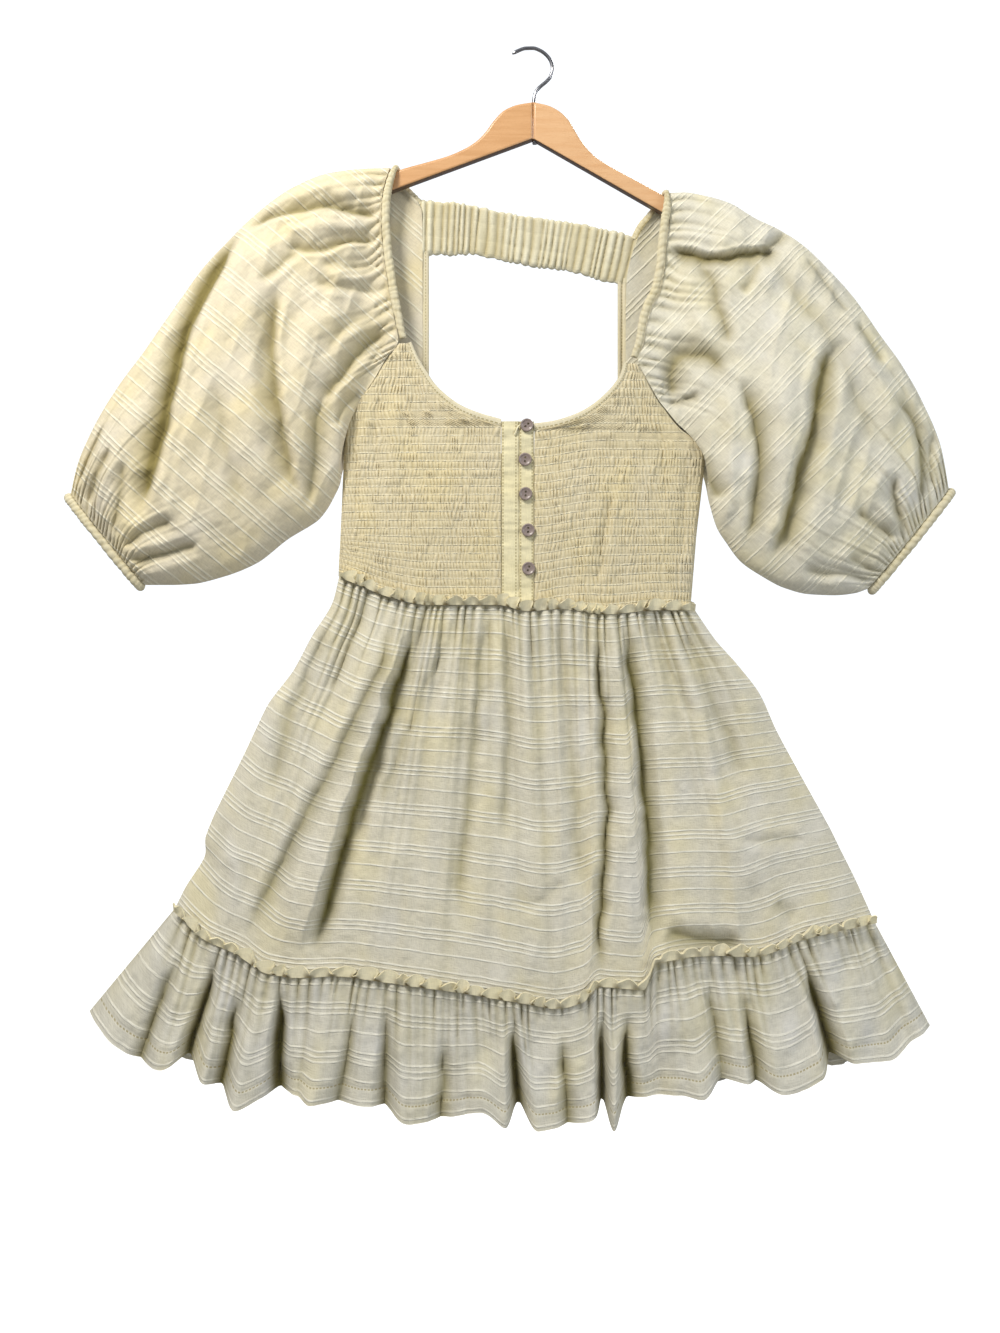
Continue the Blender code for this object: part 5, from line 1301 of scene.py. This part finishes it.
# How far the skirt's sides swell beyond a straight line from waist to seam
SIDE_SWELL = table(
    "down left right",
    (0, 0, 0), (0.09, -6, 3), (0.18, -2, 11), (0.27, -1, 16), (0.4, 8, 11.5), (0.55, 7, 10), (0.7, 7, 9),
    (0.78, 5, 7), (0.85, -4, 5.5), (0.95, 0, 2), (1, 0, 0),
)
SKIRT_FRONT_FOLDS = (
    ([(-196, 545), (-216, 600), (-238, 660), (-252, 730)], 8, 10, -5),
    ([(-164, 540), (-178, 585), (-197, 628)], 6, 6, -3.5),
    ([(-137, 535), (-144, 585), (-160, 628), (-192, 690), (-226, 752), (-256, 815), (-282, 872)], 5, 12, -7),
    ([(-119, 540), (-140, 612), (-165, 686), (-190, 758), (-213, 826), (-230, 885)], 26, 5, 13),
    ([(-108, 540), (-129, 610), (-153, 682), (-176, 750), (-197, 815), (-213, 888)], 5, 12, -12),
    ([(-148, 680), (-158, 720), (-170, 768)], 4, 5, -4),
    ([(-80, 560), (-104, 620), (-130, 682), (-150, 745)], 7, 9, -5),
    ([(-74, 548), (-86, 595), (-98, 645)], 5, 5, -3),
    ([(-44, 540), (-53, 615), (-60, 700), (-68, 790), (-72, 850)], 7, 7, -6),
    ([(-27, 542), (-24, 610), (-26, 700), (-31, 775)], 6, 6, -5),
    ([(0, 548), (-2, 620), (4, 700)], 8, 8, 2.5),
    ([(24, 552), (34, 650), (42, 760), (49, 820)], 8, 8, -4),
    ([(60, 545), (66, 635), (70, 705), (70, 780), (63, 835), (62, 905)], 5, 4.5, -10),
    ([(74, 548), (84, 640), (90, 740), (92, 840), (94, 900)], 8, 8, 5),
    ([(82, 545), (96, 620), (104, 700), (109, 780), (111, 875)], 4.5, 12, -11),
    ([(114, 550), (134, 600), (154, 652)], 7, 7, -4),
    ([(142, 552), (176, 636), (206, 712)], 9, 9, -5),
    ([(196, 765), (230, 764), (264, 766)], 6, 5, -2.5),
    ([(232, 822), (240, 832), (252, 838)], 7, 7, -3),
    ([(122, 846), (150, 858), (202, 862)], 13, 8, -8),
    ([(-20, 822), (5, 818), (32, 798)], 6, 6, -2),
    ([(170, 700), (190, 760), (215, 815)], 12, 14, 4),
    ([(-295, 740), (-315, 790), (-335, 835)], 8, 8, -3),
)
SKIRT_BACK_FOLDS = (
    ([(-140, 540), (-190, 680), (-262, 890)], 16, 16, -10),
    ([(-110, 545), (-140, 690), (-182, 900)], 16, 14, 9),
    ([(-60, 545), (-75, 660), (-88, 780)], 10, 10, -8),
    ([(-15, 548), (-18, 700), (-22, 905)], 18, 15, 8),
    ([(40, 550), (52, 720), (62, 905)], 9, 10, -10),
    ([(85, 552), (110, 720), (142, 900)], 16, 16, 9),
    ([(120, 552), (170, 700), (236, 872)], 12, 14, -9),
    ([(-95, 560), (-108, 640), (-118, 720)], 7, 7, -4),
    ([(8, 556), (14, 640), (16, 730)], 7, 7, -4),
    ([(-160, 545), (-198, 640), (-228, 720)], 8, 8, -4),
)


def skirt_form(share, down, side, folds):
    """The skirt at each share across and down: x, distance from the side seams, drop and depth in a fold."""
    waist_x, seam_x, seam_drop = (
        along(SKIRT_LINES, name, share) for name in ("waist_x", "seam_x", "seam_drop")
    )
    first, last = SKIRT_LINES["seam_x"][[0, -1]]
    across = (2 * seam_x - first - last) / (last - first)
    if side > 0:
        seam_drop = np.interp(seam_x, (first, last), SKIRT_LINES["seam_drop"][[0, -1]])
        seam_drop = seam_drop + (BACK_SEAM_DROP - seam_drop) * (1 - across**2)
    x = waist_x + (seam_x - waist_x) * down
    x = x - smooth(SIDE_SWELL["down"], SIDE_SWELL["left"], down) * np.clip(-across, 0, 1) ** 3
    x = x + smooth(SIDE_SWELL["down"], SIDE_SWELL["right"], down) * np.clip(across, 0, 1) ** 3
    top = waist_drop(waist_x) + WAIST_GAP / 2
    drop = top + (seam_drop - SEAM_GAP / 2 - top) * down
    waist_depth = body_depth(waist_x, WAIST_DROP, FRONT_DEPTH if side < 0 else BACK_DEPTH)
    full = SKIRT_FRONT_DEPTH if side < 0 else SKIRT_BACK_DEPTH
    depth = waist_depth + (SEAM_GAP / 2 + full * (1 - across**2) ** SKIRT_ROUND - waist_depth) * down
    rise, deep = creases(x, drop, folds)
    edge = ease((1 - abs(across)) / 0.08)
    even = (waist_x - waist_x[:, :1]) / (waist_x[:, -1:] - waist_x[:, :1])
    reach = 0.2 + 0.2 * rough(34 * even, 0 * share, 1, 137)
    turn = uneven(even, SKIRT_GATHERS, 139) + 0.3 * rough(12 * share, 1.6 * down, 1, 139)
    gather = pleats(turn)
    fade = np.exp(-down / np.maximum(reach, 0.035)) * ease(down / 0.012 + 0.3)
    broad_turn = uneven(even, BROAD_GATHERS, 141) + 0.3 * rough(5 * share, 1.6 * down, 1, 141)
    broad = pleats(broad_turn)
    broad_fade = (
        ease(down / 0.08) * np.exp(-down / np.maximum(0.4 + 0.3 * rough(16 * even, 0 * share, 1, 143), 0.12))
    )
    rise = rise + SKIRT_GATHER_RISE * fade * (gather - 0.55) + BROAD_RISE * broad_fade * (broad - 0.6)
    billow = 1 - 2 * abs(rough((x - waist_x) * 0.35 + waist_x * 1.6, drop * 0.16, 19, 153)) ** 0.75
    rise = (
        rise
        + SKIRT_BILLOW * billow * ease(down / 0.1)
        + 2.0 * rough(x, drop * 0.6, 40, 149)
        + 1.1 * rough(x, drop * 0.4, 15, 151)
        + 0.4 * rough(x, drop, 6, 157)
    )
    # Painted shade in the folds and between the gathers at the waist
    deep = np.maximum(
        deep, np.maximum(0.85 * fade * (1 - gather) ** 1.2, 0.6 * broad_fade * (1 - broad) ** 1.3)
    )
    return x, np.maximum(depth + rise * edge, SEAM_GAP / 2), drop, deep * edge


skirt_cotton = cotton("skirt_cotton", SKIRT_SHADED_CREAM, SKIRT_FOLD_SHADE, SKIRT_CORD)
skirt_faces = {}
for name, side, folds, rows, columns in (
    ("front", -1, SKIRT_FRONT_FOLDS, 230, 300), ("back", 1, SKIRT_BACK_FOLDS, 150, 200)
):
    share, down = net(rows, columns)
    x, depth, drop, deep = skirt_form(share, down, side, folds)
    seam = ease(np.minimum(share, 1 - share) / 0.02)
    outer = np.stack([x, side * (depth + CLOTH * seam), drop], -1)
    cut = np.stack([x, down * SKIRT_FALL + 0 * x], -1)
    skirt = cloth_piece(f"skirt_{name}_cloth", outer, cut, deep, skirt_cotton, thick=1.3, step=4)
    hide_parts(f"skirt_{name}")
    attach(skirt, "root")
    skirt_faces[name] = outer

# The two frilled headings: raw-edged strips of the cotton that stand up from the waist seam and from the
# ruffle's seam, left over where the gathers are sewn down
FRILL_HEIGHT, FRILL_UNEVEN, FRILL_LAP = 9.4, 1.8, 0.9
FRILL_CLOTH, FRILL_CLEAR = 1.2, 1.7
FRILL_STEP, FRILL_ROWS, FRILL_CURL = 0.62, 10, 2.0
WAIST_SPAN = (-187.5, 157)
FRILL_CREAM, FRILL_PAINTED_SHADOW = (0.84, 0.77, 0.54, 1), (0.16, 0.12, 0.05, 1)
frill_cotton = plain_cotton("frill_cotton", FRILL_CREAM, (), crinkle=0.8, fold_shade_colour=FRILL_PAINTED_SHADOW)


def frill(name, side, span, seam_drop, behind, foot_clear, waves, seed):
    """A ribbon that stands on a seam and curls over: lean is how far each place of it bends, in radians."""
    count = round((span[1] - span[0]) / FRILL_STEP)
    share, high = np.linspace(0, 1, count)[None, :], np.linspace(1, 0, FRILL_ROWS)[:, None]
    beat = uneven(share, waves, seed, 0.55)
    turn = math.tau * beat
    ends = np.clip(np.minimum(share, 1 - share) * 60, 0, 1)
    strength = (0.8 + 0.5 * rough(beat * 0.9, 0 * share, 1, seed + 3)) * ends
    lean = 0.95 + (1.0 * np.sin(turn) + 0.6 * rough(beat * 1.7, 0 * share, 1, seed + 2)) * strength
    lean = np.clip(lean, 0.12, FRILL_CURL)
    tall = (
        FRILL_HEIGHT * (0.88 - 0.3 * np.sin(turn) * strength)
        + FRILL_UNEVEN * rough(beat * 0.8, 0 * share, 1, seed + 1)
    )
    foot = span[0] + (span[1] - span[0]) * share
    face = behind(foot) + FRILL_CLOTH + foot_clear + (FRILL_CLEAR - foot_clear) * high
    face = face + tall * (1 - np.cos(lean * high)) / lean + 0.8 * strength * (0.5 - 0.5 * np.cos(turn))
    drop = seam_drop(foot) + FRILL_LAP - tall * np.sin(lean * high) / lean
    drop = drop + 0.9 * high * strength * rough(beat * 2.3, high * 0.5, 1, seed + 5)
    swing = (span[1] - span[0]) / waves
    x = (
        foot
        + 0.25 * swing * high * strength * np.cos(turn + 0.5)
        + 0.12 * swing * high * strength * np.sin(2 * turn + 3 * rough(beat * 0.7, 0 * share, 1, seed + 6))
    )
    outer = np.stack([x, side * face, drop], -1)
    cut = np.stack([x, 20 - high * tall + 0 * x], -1)
    # Painted shadow: the ribbon is darkened low down, near its foot, most where it curls forward over it
    deep = (
        0.95 * np.clip(1.25 - 1.7 * high, 0, 1) * np.clip(0.25 + 0.9 * np.sin(turn + 0.5) * strength, 0.05, 1)
        + 0 * x
    )
    made = cloth_piece(name + "_cloth", outer, cut, deep, frill_cotton, thick=0.8, step=2)
    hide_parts(name)
    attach(made, "root")


waist_frills = (("waist_frill_front", -1, 27, FRONT_DEPTH, 163), ("waist_frill_back", 1, 20, BACK_DEPTH, 167))
for name, side, waves, depth, seed in waist_frills:
    behind = lambda x: body_depth(x, WAIST_DROP, depth) + CLOTH + 1.4
    frill(name, side, WAIST_SPAN, waist_drop, behind, 0.4, waves, seed)
for name, side, waves, seed in (("ruffle_frill_front", -1, 45, 173), ("ruffle_frill_back", 1, 28, 179)):
    rows = skirt_faces[name.split("_")[-1]]
    xs, drops = rows[-1, :, 0], rows[-1, :, 2]
    near = abs(rows[-10:, :, 1]).max(0)
    near = np.max([np.roll(near, shift)[: len(near)] for shift in range(-3, 4)], 0)
    near[:4], near[-4:] = near[4], near[-5]
    seam_drop, behind = (lambda x, row=row: np.interp(x, xs, row) for row in (drops, near))
    frill(name, side, (xs[0] + 1, xs[-1] - 1), seam_drop, behind, FRILL_CLEAR, waves, seed)

# The ruffle: a deep flounce of the same corded cotton, a front and a back, gathered into the skirt's lower
# seam so that it flares and falls in pleats, with its hem turned up and stitched
HEM_FRONT_DEPTH, HEM_BACK_DEPTH, BACK_HEM_DROP = 50.0, 38.0, 1016.0
RUFFLE_FALL = 105
RUFFLE_GATHERS, RUFFLE_GATHER_RISE = 82, 5.4
HEM_TURN, HEM_STEP, HEM_DENT, HEM_STITCHES = 0.865, 0.7, 0.9, 463.5
VALLEY_LEFT, VALLEY_RIGHT, VALLEY_DEPTH, VALLEY_SWAY = 5.5, 7.5, -9.0, 9
# The ruffle's cotton: its cream darker, greyer and cooler than the bodice's, painted for the dimmer, cooler
# light at the hem; its pale cords; and the hem's stitching thread
RUFFLE_SHADED_CREAM, RUFFLE_CORD, HEM_THREAD = (0.65, 0.622, 0.525, 1), (0.84, 0.81, 0.69, 1), (0.30, 0.25, 0.12, 1)
RUFFLE_FOLDS = table(
    "seam_x hem_x hem_drop rise",
    (-347, -430, 932, 0), (-340, -402, 959, 7), (-334, -378, 973, 2), (-320, -353, 980, 12),
    (-302, -331, 970, -6), (-290, -313, 991, 8), (-272, -298, 996, -2), (-252, -279, 1014, 16),
    (-238, -244, 1001, -9), (-212, -223, 1002, 0), (-195, -209, 1008, 13), (-166, -184, 1008, 0),
    (-150, -161, 1010, 5), (-137, -142, 1012, -4), (-118, -117, 1025, 11), (-84, -87, 1022, 0),
    (-55, -50, 1014, 7), (-32, -27, 1028, 10), (-22, -15, 1011, -6), (0, 4, 1031, 10), (28, 31, 1027, 5),
    (52, 57, 1020, 7), (63, 65, 1008, -8), (73, 74, 1031, 13), (87, 88, 1009, -9), (108, 113, 1003, -8),
    (124, 139, 1001, 3), (137, 158, 1003, 11), (160, 178, 987, 1), (185, 199, 990, 6), (197, 212, 991, -3),
    (216, 236, 1000, 12), (240, 271, 988, 9), (250, 287, 970, -8), (268, 306, 974, 9), (300, 338, 973, 10),
    (320, 363, 957, 2), (330, 385, 946, 0),
)
BACK_WAVES, BACK_WAVE_DEPTH, BACK_WAVE_DROP = 22, 9.0, 4.0
ruffle_cotton = cotton("ruffle_cotton", RUFFLE_SHADED_CREAM, SKIRT_FOLD_SHADE, RUFFLE_CORD)
stitch_along(ruffle_cotton, (HEM_STITCHES,), HEM_THREAD)
back_lines = []
for c, part in enumerate(np.linspace(0, 1, 2 * BACK_WAVES + 1)):
    part = float(
        part + 0.011 * math.sin(1.7 * c + 2.2 * math.sin(0.9 * c)) * min(4 * part * (1 - part) * 4, 1)
    )
    seam, hem, fall = (
        RUFFLE_FOLDS[key][[0, -1]] @ (1 - part, part) for key in ("seam_x", "hem_x", "hem_drop")
    )
    middle = 4 * part * (1 - part)
    fade = min(middle * 4, 1)
    wave = BACK_WAVE_DEPTH * (-1) ** c * (0.68 + 0.42 * math.sin(2.1 * c + 1.3 * math.sin(0.7 * c))) * fade
    back_lines.append(
        (seam, hem, fall + (BACK_HEM_DROP - fall) * middle**0.7 + BACK_WAVE_DROP * (c % 2) * fade, wave)
    )
BACK_RUFFLE = table("seam_x hem_x hem_drop rise", *back_lines)
for name, side, folds, rows, columns in (
    ("front", -1, RUFFLE_FOLDS, 80, 440), ("back", 1, BACK_RUFFLE, 50, 260)
):
    seam_row = skirt_faces[name][-1]
    share, down = net(rows, columns)
    seam_x, hem_x, hem_drop, rise = (
        along(folds, key, share) for key in ("seam_x", "hem_x", "hem_drop", "rise")
    )
    seam_depth = abs(np.interp(seam_x, seam_row[:, 0], seam_row[:, 1])) - CLOTH
    seam_drop = np.interp(seam_x, seam_row[:, 0], seam_row[:, 2]) + SEAM_GAP
    across = (2 * hem_x - hem_x[0, 0] - hem_x[0, -1]) / (hem_x[0, -1] - hem_x[0, 0])
    full = HEM_FRONT_DEPTH if side < 0 else HEM_BACK_DEPTH
    hem_depth = SEAM_GAP / 2 + full * np.clip(1 - across**2, 0, 1) ** SKIRT_ROUND + rise
    fullness = ease(down * 0.75) / ease(0.75)
    edge = ease((1 - abs(across)) / 0.03)
    turn = (
        uneven((seam_x - seam_x[:, :1]) / (seam_x[:, -1:] - seam_x[:, :1]), RUFFLE_GATHERS, 181)
        + 0.35 * rough(26 * share, 1.5 * down, 1, 181)
    )
    gather = pleats(turn)
    fade = np.exp(-down / np.maximum(0.34 + 0.34 * rough(52 * share, 0 * share, 1, 183), 0.07))
    x = seam_x + (hem_x - seam_x) * down
    drop = seam_drop + (hem_drop - seam_drop) * down
    valleys = [
        (a, b, VALLEY_DEPTH + 0.9 * min(here, 0))
        for a, b, before, here, after in zip(
            folds["seam_x"][1:], folds["hem_x"][1:], folds["rise"], folds["rise"][1:], folds["rise"][2:]
        )
        if here <= before and here <= after
    ]
    falls, deep = np.zeros(x.shape), np.zeros(x.shape)
    for top, foot, sunk in valleys:
        centre = top + (foot - top) * down
        start, weight = rough(top, 1.0, 5, 195), 1 + 0.35 * rough(top, 7.0, 5, 197)
        sway = VALLEY_SWAY * rough(top, 13.0, 5, 199)
        apart = x + 1.8 * rough(x, drop, 18, 193) - centre + sway * (1 - down) * np.sin(2.6 * down)
        apart = abs(apart / np.where(apart < 0, VALLEY_LEFT, VALLEY_RIGHT)) / (0.45 + 0.55 * down)
        trough = np.exp(-1.1 * apart**1.2) - 0.2 * np.exp(-(((apart - 2.1) / 0.9) ** 2))
        sink = sunk * trough * ease((down - 0.16 - 0.14 * start) / 0.42) * weight
        falls += sink
        deep = np.maximum(deep, -sink / 12)
    relief = (
        RUFFLE_GATHER_RISE * fade * (gather - 0.5)
        + 1.6 * rough(x, drop * 0.5, 13, 187)
        + 0.6 * rough(x, drop, 6, 191)
        + 2.2 * rough(x + 0.6 * drop, drop * 0.6, 23, 189) * ease(down / 0.3)
        + falls
    )
    relief = (
        relief
        + HEM_STEP * ease((down - HEM_TURN) / 0.01)
        - HEM_DENT * np.exp(-(((down - HEM_TURN) / 0.012) ** 2))
    )
    depth = seam_depth + (hem_depth - seam_depth) * fullness + relief * edge * ease(down / 0.03)
    # Painted shade between the gathers at the seam and down each valley
    deep = np.clip(np.maximum(0.75 * fade * (1 - gather), deep), 0, 1)
    outer = np.stack([x, side * (np.maximum(depth, SEAM_GAP / 2) + CLOTH * edge), drop], -1)
    cut = np.stack([x, SKIRT_FALL + RUFFLE_FALL * down + 0 * x], -1)
    ruffle = cloth_piece(f"ruffle_{name}_cloth", outer, cut, deep, ruffle_cotton, thick=1.2, step=3)
    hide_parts(f"ruffle_{name}")
    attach(ruffle, "root")
